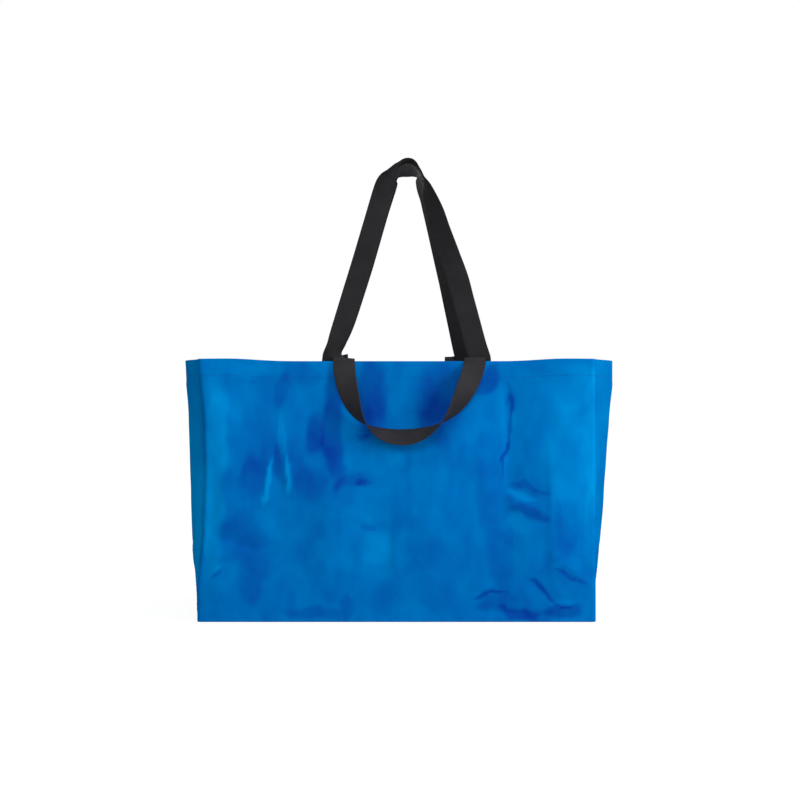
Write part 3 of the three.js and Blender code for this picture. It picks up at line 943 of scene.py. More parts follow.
def centripetal_curve(knots: np.ndarray, steps: int) -> np.ndarray:
    """Points of a smooth curve through the knots, closest where the knots are close.

    Args:
        knots: One row for each knot, x, y, z and then what is carried along.
        steps: Number of points in each span.

    Returns:
        The curve's rows, from the first knot to the last.
    """
    first = 2 * knots[0] - knots[1]
    last = 2 * knots[-1] - knots[-2]
    first[3:] = knots[0, 3:]
    last[3:] = knots[-1, 3:]
    all_knots = np.vstack([first, knots, last])
    curve = []
    for i in range(1, len(all_knots) - 2):
        p0, p1, p2, p3 = all_knots[i - 1:i + 3]
        d0, d1, d2 = (float(np.linalg.norm((b - a)[:3])) ** 0.5 for a, b in ((p0, p1), (p1, p2), (p2, p3)))
        m1 = ((p1 - p0) / d0 - (p2 - p0) / (d0 + d1) + (p2 - p1) / d1) * d1
        m2 = ((p2 - p1) / d1 - (p3 - p1) / (d1 + d2) + (p3 - p2) / d2) * d1
        for t in np.arange(steps) / steps:
            h00 = 2 * t ** 3 - 3 * t ** 2 + 1
            h10 = t ** 3 - 2 * t ** 2 + t
            h01 = -2 * t ** 3 + 3 * t ** 2
            h11 = t ** 3 - t ** 2
            curve.append(h00 * p1 + h10 * m1 + h01 * p2 + h11 * m2)
    curve.append(knots[-1])
    return np.array(curve)


def even_spacing(points: np.ndarray, count: int) -> np.ndarray:
    """Move the rows of a line so that their points lie evenly along it.

    Args:
        points: One row for each point, x, y, z and then what is carried along.
        count: Number of rows wanted.

    Returns:
        The new rows.
    """
    steps = np.linalg.norm(np.diff(points[:, :3], axis=0), axis=1)
    run = np.concatenate([[0.0], np.cumsum(steps)])
    places = np.linspace(0, run[-1], count)
    return np.stack([np.interp(places, run, points[:, k]) for k in range(points.shape[1])], axis=1)


@dataclass(frozen=True)
class StrapKnot:
    """A chosen place of a strap: its middle, from the crown's top, and where its inner edge points."""

    x: float
    y: float
    z: float
    across: tuple[float, float, float]


FRONT_CROWN = (
    StrapKnot(-33.2, -9.5, -47, (1, 0, 0)),
    StrapKnot(-28.6, -7.0, -36.3, (0.82, 0.24, -0.49)),
    StrapKnot(-21.8, -4.5, -26, (0.41, 0.78, -0.47)),
    StrapKnot(-16.9, -2.5, -17.9, (0.23, 0.94, -0.26)),
    StrapKnot(-13.2, -1.0, -11.8, (0.08, 0.99, -0.09)),
    StrapKnot(-9.6, -0.4, -8.3, (0, 0.99, -0.1)),
    StrapKnot(-5.4, 0.0, -5.6, (0, 0.99, -0.1)),
    StrapKnot(0.8, 0.0, -4.0, (0, 0.99, -0.1)),
    StrapKnot(7.2, 0.0, -5.2, (0, 0.99, -0.1)),
    StrapKnot(11.9, -0.6, -8.9, (0, 0.99, -0.1)),
    StrapKnot(15.6, -1.4, -14.0, (0, 1, -0.05)),
    StrapKnot(19.2, -2.6, -20.5, (0, 1, 0)),
    StrapKnot(23.0, -5.8, -33, (-0.12, 0.99, 0)),
    StrapKnot(27.6, -10.0, -47, (-0.50, 0.86, 0)),
    StrapKnot(39.3, -16.6, -78, (-0.78, 0.63, 0)),
    StrapKnot(47.6, -22.4, -105, (-0.85, 0.52, 0)),
    StrapKnot(59.4, -29.8, -140, (-0.94, 0.34, 0)),
    StrapKnot(71.2, -37.0, -174, (-0.98, 0.20, 0)),
)

BACK_CROWN = (
    StrapKnot(-65.2, 31.3, -155, (1, 0, 0)),
    StrapKnot(-29.4, 7.0, -40, (0.93, -0.27, -0.27)),
    StrapKnot(-20.4, 8.9, -24, (0.40, -0.79, -0.47)),
    StrapKnot(-12.5, 3.9, -15, (0.10, -0.79, -0.60)),
    StrapKnot(-6.2, 0.3, -12, (0.02, -0.62, -0.78)),
    StrapKnot(1.8, 0.3, -12, (0.02, -0.62, -0.78)),
    StrapKnot(8.4, 0.8, -11.8, (0.03, -0.65, -0.76)),
    StrapKnot(15.8, 5.6, -15.6, (-0.05, -0.85, -0.52)),
    StrapKnot(18.0, 10.8, -24.5, (-0.27, -0.92, -0.30)),
    StrapKnot(24.0, 13.3, -40.5, (-0.56, -0.82, -0.10)),
    StrapKnot(34.5, 13.0, -62, (-0.85, -0.52, 0)),
    StrapKnot(61.4, 34.6, -167, (-1, 0, 0)),
)


@dataclass
class LongHandle:
    """A shoulder strap that leans in from its seats on the hem and turns over at its crown."""

    name: str
    face: Face
    shift: float
    crown_x: float
    crown_y: float
    crown: tuple[StrapKnot, ...]
    shell: BagShell
    webbing: Webbing
    spacing: float
    left_turns: tuple[tuple[float, float], ...]
    rise: float = 291.0
    straight_length: float = 3.0
    right_lifts: tuple[float, ...] = (20, 60, 90)
    seat_y: float = 77.0
    end_margin: float = 3.0
    stations: int = 300

    def foot(self, hand: Hand, shoulder: list[float]) -> list[list[float]]:
        """Knots of one end, from its end in the hem to where the strand runs straight.

        The left end is turned as it leaves the rim, with its outer edge held on the strand's line.

        Args:
            hand: Which end.
            shoulder: The first knot of the crown on that side.

        Returns:
            Rows of the middle point and the width direction.
        """
        rim = self.shell.height
        x = self.shift + hand.value * self.spacing / 2
        seat = self.face.value * self.seat_y
        plain = [-float(hand.value), 0.0, 0.0]
        end = self.shell.hem_line + self.end_margin
        heights = (end, rim - self.shell.hem_depth / 2, rim - 1, rim + self.straight_length)
        rows = [[x, seat, z] + plain for z in heights]
        start = [x, seat, rim]
        turns = self.left_turns if hand is Hand.LEFT else tuple((lift, 0.0) for lift in self.right_lifts)
        for lift, degrees in turns:
            twist = math.radians(degrees)
            share = lift / (shoulder[2] - rim)
            middle = [a + (b - a) * share for a, b in zip(start, shoulder)]
            middle[0] += hand.value * self.webbing.width / 2 * (1 - math.cos(twist))
            rows.append(middle + [-hand.value * math.cos(twist), -self.face.value * math.sin(twist), 0.0])
        return rows

    def knots(self) -> np.ndarray:
        """Chosen places of the strap, from the left end to the right one.

        Returns:
            Rows of the middle point and the width direction.
        """
        top = (self.crown_x, self.crown_y, self.shell.height + self.rise)
        crown = [[top[0] + k.x, top[1] + k.y, top[2] + k.z, *k.across] for k in self.crown]
        left = self.foot(Hand.LEFT, crown[0][:3])
        right = self.foot(Hand.RIGHT, crown[-1][:3])
        return np.array(left + crown + right[::-1])

    def build(self) -> bpy.types.Object:
        """Make the handle.

        Returns:
            The strap.
        """
        curve = even_spacing(centripetal_curve(self.knots(), 24), self.stations)
        middle = curve[:, :3]
        cup = self.webbing.cup * smoothstep(self.shell.height, self.shell.height + 60, middle[:, 2])
        return self.webbing.build(self.name, middle, curve[:, 3:], cup)


@dataclass(frozen=True)
class LoopSide:
    """One side of a short handle's loop. The slant tips the top of its roll over the rim."""

    rim_fullness: float
    bottom_fullness: float
    slant: float
    twist_start: float


@dataclass
class ShortHandle:
    """A hand strap that rolls over the rim and hangs outside in a loop that turns over."""

    name: str
    face: Face
    shift: float
    bottom_shift: float
    roll_height: float
    left: LoopSide
    right: LoopSide
    shell: BagShell
    webbing: Webbing
    spacing: float = 182.0
    drop: float = 105.0
    bottom_twist: float = math.radians(135)
    seat_y: float = 78.5
    roll_radius: float = 2.0
    hang_clearance: float = 3.0
    end_margin: float = 3.0
    stations: int = 220

    @property
    def hang_y(self) -> float:
        """Distance from the XZ plane to the strap where it starts to hang."""
        return self.shell.patch_outer + 0.3 + self.webbing.thickness / 2 + self.roll_radius / 2

    def foot(self, hand: Hand, slant: float) -> tuple[list, list]:
        """Stations of one end, from inside the hem to the outside of the rim.

        Args:
            hand: Which end.
            slant: How far the top of the roll is tipped, in radians.

        Returns:
            The middle points and the width directions.
        """
        rim = self.shell.height
        x = self.shift + hand.value * self.spacing / 2
        seat = self.face.value * self.seat_y
        hang = self.face.value * self.hang_y
        half = abs(hang - seat) / 2
        roll_start = rim + self.roll_height - half
        heights = np.linspace(self.shell.hem_line + self.end_margin, roll_start, 8)
        points = [[x, seat, z] for z in heights]
        across = [[-hand.value, 0.0, 0.0]] * len(points)
        for turn in np.linspace(0, math.pi, 13)[1:]:
            y = (seat + hang) / 2 - self.face.value * half * math.cos(turn)
            points.append([x, y, roll_start + half * math.sin(turn)])
            tip = slant * math.sin(turn) ** 3
            across.append([-hand.value * math.cos(tip), 0.0, -math.sin(tip)])
        return points, across

    def loop(self) -> tuple[np.ndarray, np.ndarray]:
        """Stations of the hanging loop, from left to right.

        Returns:
            The middle points and the width directions.
        """
        count = 120
        share = (np.arange(1, count) * 2 / count) - 1
        hand = np.where(share < 0, -1.0, 1.0)
        at_rim = np.where(share < 0, self.left.rim_fullness, self.right.rim_fullness)
        at_bottom = np.where(share < 0, self.left.bottom_fullness, self.right.bottom_fullness)
        start = np.where(share < 0, self.left.twist_start, self.right.twist_start)
        turn = np.pi / 2 * (1 - np.abs(share))
        power = at_rim + (at_bottom - at_rim) * smoothstep(0, 0.8, 1 - np.abs(share))
        reach = np.cos(turn) ** (2 / power)
        drop = np.sin(turn) ** (2 / power)
        bottom = self.shift + self.bottom_shift
        foot = self.shift + hand * self.spacing / 2
        x = bottom + (foot - bottom) * reach
        z = self.shell.height - self.drop * drop
        wound = np.clip((1 - np.abs(share) - start) / (1 - start), 0, 1)
        twist = self.bottom_twist * wound * wound * (3 - 2 * wound)
        panel = self.shell.panel_reach(self.face, x, z) + self.webbing.thickness / 2
        furthest = max(self.hang_y, float(panel.max()))
        rest = self.hang_y + (furthest - self.hang_y) * smoothstep(0, 0.5, drop)
        turned = self.webbing.width / 2 * np.abs(np.sin(twist))
        clearance = self.hang_clearance * smoothstep(0, 30 / self.drop, drop)
        y = self.face.value * (rest + clearance + turned)
        middle = np.stack([x, y, z], axis=1)
        along = np.gradient(middle, axis=0)
        inwards = np.stack([-along[:, 2], 0 * along[:, 2], along[:, 0]], axis=1)
        inwards /= np.linalg.norm(inwards, axis=1, keepdims=True)
        across = inwards * np.cos(twist)[:, None]
        across[:, 1] = self.face.value * np.sin(twist)
        return middle, across

    def build(self) -> bpy.types.Object:
        """Make the handle.

        Returns:
            The strap.
        """
        left_points, left_across = self.foot(Hand.LEFT, self.left.slant)
        right_points, right_across = self.foot(Hand.RIGHT, self.right.slant)
        middle, across = self.loop()
        points = np.vstack([left_points, middle, right_points[::-1]])
        widths = np.vstack([left_across, across, right_across[::-1]])
        even = even_spacing(np.hstack([points, widths]), self.stations)
        outside = smoothstep(self.shell.patch_outer + 3, self.shell.patch_outer + 12, np.abs(even[:, 1]))
        return self.webbing.build(self.name, even[:, :3], even[:, 3:], self.webbing.cup * outside)


# Finishes


def srgb(red: int, green: int, blue: int) -> tuple[float, float, float, float]:
    """Turn a colour into the linear one that a shader reads.

    Args:
        red: From 0 to 255.
        green: From 0 to 255.
        blue: From 0 to 255.

    Returns:
        Four shares, with the last one at 1.
    """
    def linear(value: int) -> float:
        """One channel."""
        share = value / 255
        return share / 12.92 if share <= 0.04045 else ((share + 0.055) / 1.055) ** 2.4
    return (linear(red), linear(green), linear(blue), 1.0)


class NodeSheet:
    """A material's node tree, with short ways to add and join nodes."""

    def __init__(self, name: str) -> None:
        """Start an empty material with a shader and an output.

        Args:
            name: The material's name.
        """
        self.material = bpy.data.materials.new(name)
        self.material.use_nodes = True
        self.tree = self.material.node_tree
        self.tree.nodes.clear()
        self.output = self.tree.nodes.new("ShaderNodeOutputMaterial")
        self.shader = self.tree.nodes.new("ShaderNodeBsdfPrincipled")
        self.join(self.shader.outputs["BSDF"], self.output.inputs["Surface"])

    def add(self, kind: str, **settings: object) -> bpy.types.Node:
        """Add a node and set its properties and unlinked inputs.

        Args:
            kind: The node's type.
            settings: Properties by name, or inputs by name with spaces as underscores.

        Returns:
            The new node.
        """
        node = self.tree.nodes.new(kind)
        for name, value in settings.items():
            if hasattr(node, name):
                setattr(node, name, value)
            else:
                node.inputs[name.replace("_", " ")].default_value = value
        return node

    def join(self, source: bpy.types.NodeSocket, target: bpy.types.NodeSocket) -> None:
        """Link an output to an input."""
        self.tree.links.new(source, target)

    def math(self, operation: str, first: object, second: object = 0.0) -> bpy.types.NodeSocket:
        """Add a Math node.

        Args:
            operation: What it does.
            first: A socket or a number.
            second: A socket or a number.

        Returns:
            The result's socket.
        """
        node = self.tree.nodes.new("ShaderNodeMath")
        node.operation = operation
        for socket, value in zip(node.inputs, (first, second)):
            if isinstance(value, (int, float)):
                socket.default_value = value
            else:
                self.join(value, socket)
        return node.outputs[0]

    def noise(self, coordinates: bpy.types.NodeSocket, scale: float, detail: float,
              stretch: tuple[float, float, float] = (1, 1, 1)) -> bpy.types.NodeSocket:
        """Add noise on stretched coordinates.

        Args:
            coordinates: The socket that gives them.
            scale: Cells in a metre.
            detail: Finer layers of noise.
            stretch: Factors on the coordinates.

        Returns:
            The noise's socket, from 0 to 1.
        """
        mapping = self.add("ShaderNodeMapping")
        mapping.inputs["Scale"].default_value = stretch
        self.join(coordinates, mapping.inputs["Vector"])
        noise = self.add("ShaderNodeTexNoise", Scale=scale, Detail=detail)
        self.join(mapping.outputs[0], noise.inputs["Vector"])
        return noise.outputs["Fac"]

    def ramp(self, factor: bpy.types.NodeSocket, stops: list[tuple[float, tuple]]) -> bpy.types.NodeSocket:
        """Add a colour ramp.

        Args:
            factor: The socket that it reads.
            stops: Places from 0 to 1 with their colours.

        Returns:
            The colour's socket.
        """
        node = self.tree.nodes.new("ShaderNodeValToRGB")
        elements = node.color_ramp.elements
        while len(elements) < len(stops):
            elements.new(0.5)
        for element, (place, colour) in zip(elements, stops):
            element.position = place
            element.color = colour
        self.join(factor, node.inputs[0])
        return node.outputs[0]

    def bump(self, height: bpy.types.NodeSocket, distance: float, strength: float,
             normal: bpy.types.NodeSocket | None = None) -> bpy.types.NodeSocket:
        """Add a bump.

        Args:
            height: The socket that gives the height, from about 0 to 1.
            distance: Depth of the full height, in metres.
            strength: Share of the bump that shows.
            normal: The normal's socket of a bump below, if there is one.

        Returns:
            The normal's socket.
        """
        node = self.add("ShaderNodeBump", Distance=distance, Strength=strength)
        self.join(height, node.inputs["Height"])
        if normal is not None:
            self.join(normal, node.inputs["Normal"])
        return node.outputs[0]


@dataclass(frozen=True)
class LaminateFinish:
    """Satin blue film over woven plastic tape."""

    name: str = "blue_laminate"
    # The first colour is painted shade, the middle one the film's own blue and the last painted highlight.
    painted_shade_colour: tuple[int, int, int] = (6, 38, 130)
    middle: tuple[int, int, int] = (0, 94, 162)
    light: tuple[int, int, int] = (0, 124, 188)
    gloss_tint: tuple[int, int, int] = (0, 205, 255)
    pearl: float = 0.06
    tape_width: float = 2.4
    roughness: float = 0.44

    def build(self) -> bpy.types.Material:
        """Make the material. It reads the sheet's own map, in metres.

        Returns:
            The material.
        """
        sheet = NodeSheet(self.name)
        place = sheet.add("ShaderNodeUVMap", uv_map="Surface").outputs[0]
        axes = sheet.add("ShaderNodeSeparateXYZ")
        sheet.join(place, axes.inputs[0])
        beat = math.pi / (self.tape_width * MM)
        warp = sheet.math("SINE", sheet.math("MULTIPLY", axes.outputs[0], beat))
        weft = sheet.math("SINE", sheet.math("MULTIPLY", axes.outputs[1], beat))
        weave = sheet.math("MULTIPLY", warp, weft)
        film = sheet.noise(place, 46, 4, (1.0, 0.55, 1.0))
        grain = sheet.noise(place, 420, 2)
        # The base colour is painted light: it runs from painted shade through the film's blue to painted
        # highlight.
        painted_light_and_mottle = sheet.add("ShaderNodeAttribute", attribute_name="painted_light_and_mottle").outputs["Fac"]
        tones = [(0.0, srgb(*self.painted_shade_colour)), (0.5, srgb(*self.middle)), (1.0, srgb(*self.light))]
        colour = sheet.ramp(painted_light_and_mottle, tones)
        sheet.join(colour, sheet.shader.inputs["Base Color"])
        uneven = sheet.math("MULTIPLY", sheet.math("SUBTRACT", film, 0.5), 0.25)
        rough = sheet.math("ADD", uneven, self.roughness)
        sheet.join(rough, sheet.shader.inputs["Roughness"])
        normal = sheet.bump(weave, 0.00008, 0.35)
        normal = sheet.bump(film, 0.0012, 0.35, normal)
        normal = sheet.bump(grain, 0.00012, 0.3, normal)
        sheet.join(normal, sheet.shader.inputs["Normal"])
        sheet.shader.inputs["Metallic"].default_value = self.pearl
        sheet.shader.inputs["Specular IOR Level"].default_value = 0.0
        sheet.shader.inputs["Specular Tint"].default_value = srgb(*self.gloss_tint)
        return sheet.material


@dataclass(frozen=True)
class WebbingFinish:
    """Matt woven webbing with fine cross ribs."""

    name: str
    dark: tuple[int, int, int]
    light: tuple[int, int, int]
    rib_pitch: float = 1.7
    yarn_pitch: float = 1.1

    def build(self) -> bpy.types.Material:
        """Make the material. It reads the strap's own map, in metres across and along.

        Returns:
            The material.
        """
        sheet = NodeSheet(self.name)
        place = sheet.add("ShaderNodeUVMap", uv_map="Surface").outputs[0]
        axes = sheet.add("ShaderNodeSeparateXYZ")
        sheet.join(place, axes.inputs[0])
        ribs = sheet.math("SINE", sheet.math("MULTIPLY", axes.outputs[1], math.tau / (self.rib_pitch * MM)))
        yarns = sheet.math("SINE", sheet.math("MULTIPLY", axes.outputs[0], math.tau / (self.yarn_pitch * MM)))
        weave = sheet.math("ADD", sheet.math("MULTIPLY", ribs, yarns), sheet.math("MULTIPLY", ribs, 0.5))
        fuzz = sheet.noise(place, 900, 3)
        wear = sheet.noise(place, 30, 3)
        tone = sheet.math("ADD", sheet.math("MULTIPLY", weave, 0.16), sheet.math("MULTIPLY", wear, 0.8))
        colour = sheet.ramp(tone, [(0.2, srgb(*self.dark)), (0.7, srgb(*self.light))])
        sheet.join(colour, sheet.shader.inputs["Base Color"])
        normal = sheet.bump(weave, 0.0002, 0.5)
        normal = sheet.bump(fuzz, 0.00015, 0.35, normal)
        sheet.join(normal, sheet.shader.inputs["Normal"])
        sheet.shader.inputs["Roughness"].default_value = 0.72
        sheet.shader.inputs["Specular IOR Level"].default_value = 0.15
        return sheet.material


@dataclass(frozen=True)
class PlainFinish:
    """One even colour with a little grain, for thread."""

    name: str
    colour: tuple[int, int, int]
    roughness: float = 0.6

    def build(self) -> bpy.types.Material:
        """Make the material.

        Returns:
            The material.
        """
        sheet = NodeSheet(self.name)
        place = sheet.add("ShaderNodeTexCoord").outputs["Object"]
        grain = sheet.noise(place, 2500, 2)
        darker = tuple(int(value * 0.8) for value in self.colour)
        colour = sheet.ramp(grain, [(0.35, srgb(*darker)), (0.65, srgb(*self.colour))])
        sheet.join(colour, sheet.shader.inputs["Base Color"])
        sheet.join(sheet.bump(grain, 0.0001, 0.4), sheet.shader.inputs["Normal"])
        sheet.shader.inputs["Roughness"].default_value = self.roughness
        sheet.shader.inputs["Specular IOR Level"].default_value = 0.1
        return sheet.material


# Stitches


@dataclass
class Stitching:
    """Rows of thread stitches that follow polylines on the cloth."""

    pitch: float = 3.6
    length: float = 2.7
    thread: float = 0.55

    def stitch_mesh(self) -> bpy.types.Object:
        """Make one stitch, lying along X.

        Returns:
            A small object that the node group repeats.
        """
        sides = 6
        rings = [(-0.5, 0.25), (-0.38, 0.85), (0.0, 1.0), (0.38, 0.85), (0.5, 0.25)]
        points = []
        for place, swell in rings:
            for k in range(sides):
                turn = math.tau * k / sides
                radius = self.thread / 2 * swell
                points.append((place * self.length, radius * math.cos(turn), radius * math.sin(turn)))
        faces = grid_faces(len(rings), sides, True)
        faces = [face[::-1] for face in faces]
        faces.append(list(range(sides)))
        faces.append(list(range((len(rings) - 1) * sides, len(rings) * sides))[::-1])
        return make_object("stitch_unit", np.array(points), faces)

    def tree(self, unit: bpy.types.Object, material: bpy.types.Material) -> bpy.types.NodeTree:
        """Make the node group that sets stitches along the edges of a mesh.

        Args:
            unit: One stitch, lying along X.
            material: The thread's finish.

        Returns:
            The group, with the stitches' pitch as an input.
        """
        group = bpy.data.node_groups.new("stitch_line", "GeometryNodeTree")
        face = group.interface
        face.new_socket("Geometry", in_out="INPUT", socket_type="NodeSocketGeometry")
        face.new_socket("Pitch", in_out="INPUT", socket_type="NodeSocketFloat")
        face.new_socket("Geometry", in_out="OUTPUT", socket_type="NodeSocketGeometry")
        nodes = group.nodes
        links = group.links
        start = nodes.new("NodeGroupInput")
        end = nodes.new("NodeGroupOutput")
        curve = nodes.new("GeometryNodeMeshToCurve")
        resample = nodes.new("GeometryNodeResampleCurve")
        resample.mode = "LENGTH"
        place = nodes.new("GeometryNodeInstanceOnPoints")
        tangent = nodes.new("GeometryNodeInputTangent")
        align = nodes.new("FunctionNodeAlignRotationToVector")
        align.axis = "X"
        source = nodes.new("GeometryNodeObjectInfo")
        source.inputs["Object"].default_value = unit
        real = nodes.new("GeometryNodeRealizeInstances")
        dress = nodes.new("GeometryNodeSetMaterial")
        dress.inputs["Material"].default_value = material
        links.new(start.outputs["Geometry"], curve.inputs["Mesh"])
        links.new(curve.outputs["Curve"], resample.inputs["Curve"])
        links.new(start.outputs["Pitch"], resample.inputs["Length"])
        links.new(resample.outputs["Curve"], place.inputs["Points"])
        links.new(source.outputs["Geometry"], place.inputs["Instance"])
        links.new(tangent.outputs["Tangent"], align.inputs["Vector"])
        links.new(align.outputs["Rotation"], place.inputs["Rotation"])
        links.new(place.outputs["Instances"], real.inputs["Geometry"])
        links.new(real.outputs["Geometry"], dress.inputs["Geometry"])
        links.new(dress.outputs["Geometry"], end.inputs["Geometry"])
        return group

    def build(self, name: str, lines: list[np.ndarray], material: bpy.types.Material) -> bpy.types.Object:
        """Make the stitches of several lines as one plain mesh.

        Args:
            name: Name of the object.
            lines: Points of each line, in millimetres.
            material: The thread's finish.

        Returns:
            The stitches.
        """
        points = np.vstack(lines)
        edges = []
        first = 0
        for line in lines:
            edges += [(first + i, first + i + 1) for i in range(len(line) - 1)]
            first += len(line)
        mesh = bpy.data.meshes.new(name + "_path")
        mesh.from_pydata((points * MM).tolist(), edges, [])
        path = bpy.data.objects.new(name + "_path", mesh)
        bpy.context.scene.collection.objects.link(path)
        unit = self.stitch_mesh()
        group = self.tree(unit, material)
        modifier = path.modifiers.new("stitches", "NODES")
        modifier.node_group = group
        pitch = next(item for item in group.interface.items_tree if item.name == "Pitch")
        modifier[pitch.identifier] = self.pitch * MM
        graph = bpy.context.evaluated_depsgraph_get()
        graph.update()
        baked = bpy.data.meshes.new_from_object(path.evaluated_get(graph))
        baked.polygons.foreach_set("use_smooth", [True] * len(baked.polygons))
        bpy.data.objects.remove(path)
        bpy.data.objects.remove(unit)
        piece = bpy.data.objects.new(name, baked)
        bpy.context.scene.collection.objects.link(piece)
        return piece


# The studio


@dataclass
class Studio:
    """Pale floor, soft lamps and the camera."""

    camera_x: float = 4.8
    camera_z: float = 306.0
    front_plane: float = -100.0
    camera_distance: float = 2449.0
    focal_length: float = 80.0
    shadow_reach: tuple[float, float] = (0.36, 0.9)
    floor_glow: float = 0.86

    def camera(self) -> None:
        """Place the camera level, looking along +Y."""
        data = bpy.data.cameras.new("studio_camera")
        data.lens = self.focal_length
        data.sensor_width = 36.0
        data.sensor_fit = "HORIZONTAL"
        data.dof.use_dof = False
        data.clip_end = 100.0
        camera = bpy.data.objects.new("studio_camera", data)
        bpy.context.scene.collection.objects.link(camera)
        behind = self.front_plane - self.camera_distance
        camera.location = (self.camera_x * MM, behind * MM, self.camera_z * MM)
        camera.rotation_euler = (math.radians(90), 0, 0)
        bpy.context.scene.camera = camera

    def lamp(self, name: str, place: tuple, aim: tuple, size: tuple, power: float) -> None:
        """Hang one rectangular soft lamp.

        Args:
            name: Name of the lamp.
            place: Its centre, in metres.
            aim: The point that it faces, in metres.
            size: Its width and height, in metres.
            power: Its power, in watts.
        """
        data = bpy.data.lights.new(name, "AREA")
        data.shape = "RECTANGLE"
        data.size, data.size_y = size
        data.energy = power
        lamp = bpy.data.objects.new(name, data)
        bpy.context.scene.collection.objects.link(lamp)
        lamp.location = place
        lamp.rotation_euler = (Vector(aim) - Vector(place)).to_track_quat("-Z", "Y").to_euler()

    def lamps(self) -> None:
        """Hang the softboxes: right, front, overhead and behind."""
        self.lamp("right_softbox", (2.0, -1.25, 0.75), (0, 0, 0.25), (0.8, 1.4), 44)
        self.lamp("front_softbox", (-0.5, -2.9, 1.5), (0, 0, 0.3), (2.0, 1.2), 44)
        self.lamp("top_softbox", (0, -0.6, 2.1), (0, 0, 0.2), (1.8, 1.2), 16)
        self.lamp("back_softbox", (0, 2.4, 1.2), (0, 0, 0.2), (1.8, 1.2), 34)

    @staticmethod
    def seen(tree: bpy.types.NodeTree) -> bpy.types.NodeSocket:
        """Add a mask of the rays that see the pale surroundings.

        Args:
            tree: The node tree that gets it.

        Returns:
            A socket that is 1 for rays from the camera, from gloss and through glass.
        """
        path = tree.nodes.new("ShaderNodeLightPath")
        either = path.outputs["Is Camera Ray"]
        for name in ("Is Glossy Ray", "Is Transmission Ray"):
            widest = tree.nodes.new("ShaderNodeMath")
            widest.operation = "MAXIMUM"
            tree.links.new(either, widest.inputs[0])
            tree.links.new(path.outputs[name], widest.inputs[1])
            either = widest.outputs[0]
        return either

    def world(self) -> None:
        """Give an even pale surrounding that the camera sees as white."""
        world = bpy.data.worlds.new("studio_air")
        world.use_nodes = True
        tree = world.node_tree
        tree.nodes.clear()
        out = tree.nodes.new("ShaderNodeOutputWorld")
        mix = tree.nodes.new("ShaderNodeMixShader")
        dim = tree.nodes.new("ShaderNodeBackground")
        dim.inputs["Color"].default_value = (1, 1, 1, 1)
        dim.inputs["Strength"].default_value = 0.14
        white = tree.nodes.new("ShaderNodeBackground")
        white.inputs["Color"].default_value = (1, 1, 1, 1)
        white.inputs["Strength"].default_value = 1.0
        tree.links.new(self.seen(tree), mix.inputs[0])
        tree.links.new(dim.outputs[0], mix.inputs[1])
        tree.links.new(white.outputs[0], mix.inputs[2])
        tree.links.new(mix.outputs[0], out.inputs["Surface"])
        bpy.context.scene.world = world

    def floor(self) -> bpy.types.Object:
        """Lay the pale floor.

        Returns:
            The floor.
        """
        half = 6.0
        mesh = bpy.data.meshes.new("studio_floor")
        corners = [(-half, -half, 0), (half, -half, 0), (half, half, 0), (-half, half, 0)]
        mesh.from_pydata(corners, [], [(0, 1, 2, 3)])
        floor = bpy.data.objects.new("studio_floor", mesh)
        bpy.context.scene.collection.objects.link(floor)
        material = bpy.data.materials.new("pale_floor")
        material.use_nodes = True
        tree = material.node_tree
        tree.nodes.clear()
        out = tree.nodes.new("ShaderNodeOutputMaterial")
        matt = tree.nodes.new("ShaderNodeBsdfDiffuse")
        matt.inputs["Color"].default_value = (0.86, 0.86, 0.86, 1)
        white = tree.nodes.new("ShaderNodeEmission")
        white.inputs["Strength"].default_value = 1.06
        place = tree.nodes.new("ShaderNodeTexCoord")
        away = tree.nodes.new("ShaderNodeVectorMath")
        away.operation = "LENGTH"
        share = tree.nodes.new("ShaderNodeMapRange")
        share.inputs["From Min"].default_value = self.shadow_reach[0]
        share.inputs["From Max"].default_value = self.shadow_reach[1]
        share.inputs["To Min"].default_value = self.floor_glow
        share.inputs["To Max"].default_value = 1.0
        glow = tree.nodes.new("ShaderNodeMath")
        glow.operation = "MULTIPLY"
        mix = tree.nodes.new("ShaderNodeMixShader")
        tree.links.new(place.outputs["Object"], away.inputs[0])
        tree.links.new(away.outputs["Value"], share.inputs["Value"])
        tree.links.new(self.seen(tree), glow.inputs[0])
        tree.links.new(share.outputs[0], glow.inputs[1])
        tree.links.new(glow.outputs[0], mix.inputs[0])
        tree.links.new(matt.outputs[0], mix.inputs[1])
        tree.links.new(white.outputs[0], mix.inputs[2])
        tree.links.new(mix.outputs[0], out.inputs["Surface"])
        mesh.materials.append(material)
        return floor


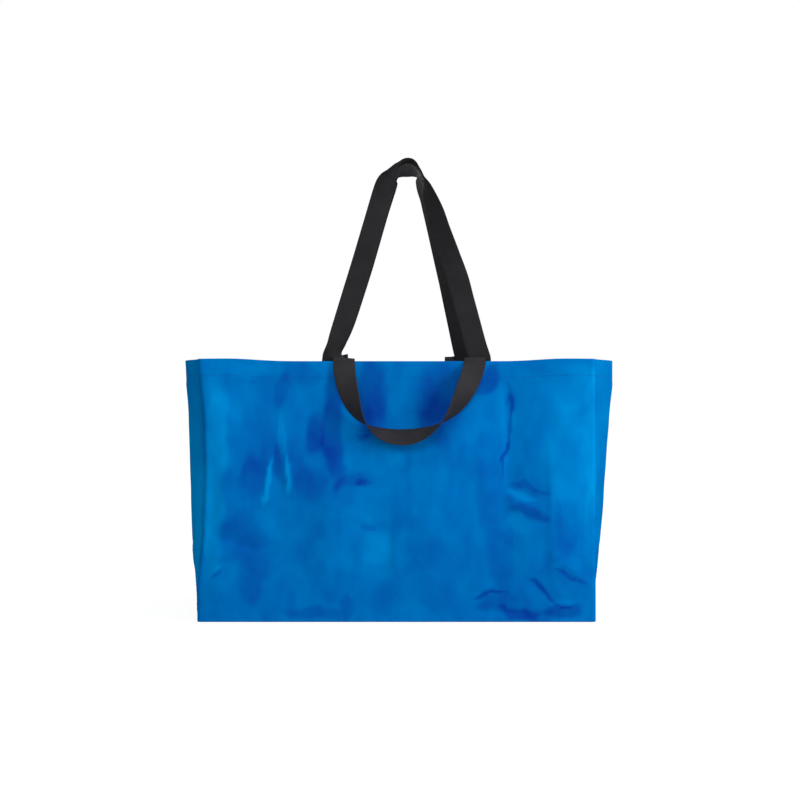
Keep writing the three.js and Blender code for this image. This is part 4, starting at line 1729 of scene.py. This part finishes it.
@dataclass
class CarrierBag:
    """The whole bag, dressed and carried on the part's body."""

    shell: BagShell = field(default_factory=BagShell)
    webbing: Webbing = field(default_factory=Webbing)
    stitch_rise: float = 3.0
    stitch_stand_off: float = 0.12

    def carry(self, piece: bpy.types.Object, nodes: tuple[str, ...] = ()) -> None:
        """Let a piece ride on the part's body and stand for its plain solid.

        Args:
            piece: The piece.
            nodes: The solids that it stands for.
        """
        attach(piece, "root")
        if nodes:
            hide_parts(*nodes)
        LOG.info("%s: %d faces", piece.name, len(piece.data.polygons))

    def handles(self) -> list[tuple[bpy.types.Object, str]]:
        """Make the four handles.

        Returns:
            Each strap with the name of the solid that it stands for.
        """
        makers = [
            LongHandle(
                name="front_shoulder_strap", face=Face.FRONT, shift=14.0, spacing=204.5,
                crown_x=14.8, crown_y=-15.0, crown=FRONT_CROWN,
                left_turns=((14, 40), (30, 33), (54, 22), (90, 12), (130, 0), (200, 0)),
                shell=self.shell, webbing=self.webbing,
            ),
            LongHandle(
                name="back_shoulder_strap", face=Face.BACK, shift=3.4, spacing=198.0,
                crown_x=14.0, crown_y=17.0, crown=BACK_CROWN,
                left_turns=((14, 44), (30, 34), (54, 17), (90, 0)),
                shell=self.shell, webbing=self.webbing,
            ),
            ShortHandle(
                name="front_hand_strap", face=Face.FRONT, shift=18.0, bottom_shift=-7.0, roll_height=4.5,
                left=LoopSide(1.9, 2.3, math.radians(8), 0.0),
                right=LoopSide(1.45, 1.8, 0.0, 0.05),
                shell=self.shell, webbing=self.webbing,
            ),
            ShortHandle(
                name="back_hand_strap", face=Face.BACK, shift=-0.5, bottom_shift=3.0, roll_height=10.5,
                left=LoopSide(1.8, 2.1, math.radians(-12), 0.05),
                right=LoopSide(1.7, 2.1, math.radians(12), 0.0),
                shell=self.shell, webbing=self.webbing, spacing=173.0,
            ),
        ]
        nodes = ("long_handle_front", "long_handle_back", "short_handle_front", "short_handle_back")
        return [(maker.build(), node) for maker, node in zip(makers, nodes)]

    def hem_line(self) -> np.ndarray:
        """Points of the hem's stitch line on the outside, as a closed loop.

        Returns:
            One row of x, y, z for each point.
        """
        z = self.shell.hem_line + self.stitch_rise
        outline = self.shell.outline(np.array([z]))[0]
        along = np.roll(outline, -1, axis=0) - np.roll(outline, 1, axis=0)
        along /= np.linalg.norm(along, axis=1, keepdims=True)
        outwards = np.stack([along[:, 1], -along[:, 0]], axis=1)
        flat = outline + outwards * self.stitch_stand_off
        height = z + self.shell.rim_lift(outline[:, 0], np.full(len(outline), z))
        points = np.column_stack([flat, height])
        return np.vstack([points, points[:1]])

    def build(self) -> None:
        """Make, dress and carry every piece."""
        laminate = LaminateFinish().build()
        shell = self.shell.build("bag_shell")
        shell.data.materials.append(laminate)
        self.carry(shell, ("bag_body",))
        long_finish = WebbingFinish("long_webbing", (10, 9, 12), (25, 23, 27)).build()
        short_finish = WebbingFinish("short_webbing", (24, 23, 26), (41, 39, 43)).build()
        for piece, node in self.handles():
            piece.data.materials.append(long_finish if node.startswith("long") else short_finish)
            self.carry(piece, (node,))
        thread = PlainFinish("blue_thread", (2, 92, 168)).build()
        hem = Stitching().build("hem_stitches", [self.hem_line()], thread)
        self.carry(hem)


def corners(box: tuple[Vector, Vector]) -> list[list[float]]:
    """A box's two corners as plain lists."""
    return [list(corner) for corner in box]


def main() -> None:
    """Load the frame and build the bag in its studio."""
    logging.basicConfig(level=logging.INFO, format="%(name)s: %(message)s")
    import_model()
    solid_box = corners(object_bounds())
    bpy.context.scene.view_settings.view_transform = "Standard"
    studio = Studio()
    studio.camera()
    studio.world()
    studio.lamps()
    studio.floor()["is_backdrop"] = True
    CarrierBag().build()
    {"solids": solid_box, "visual": corners(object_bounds())}


if __name__ == "__main__":
    main()
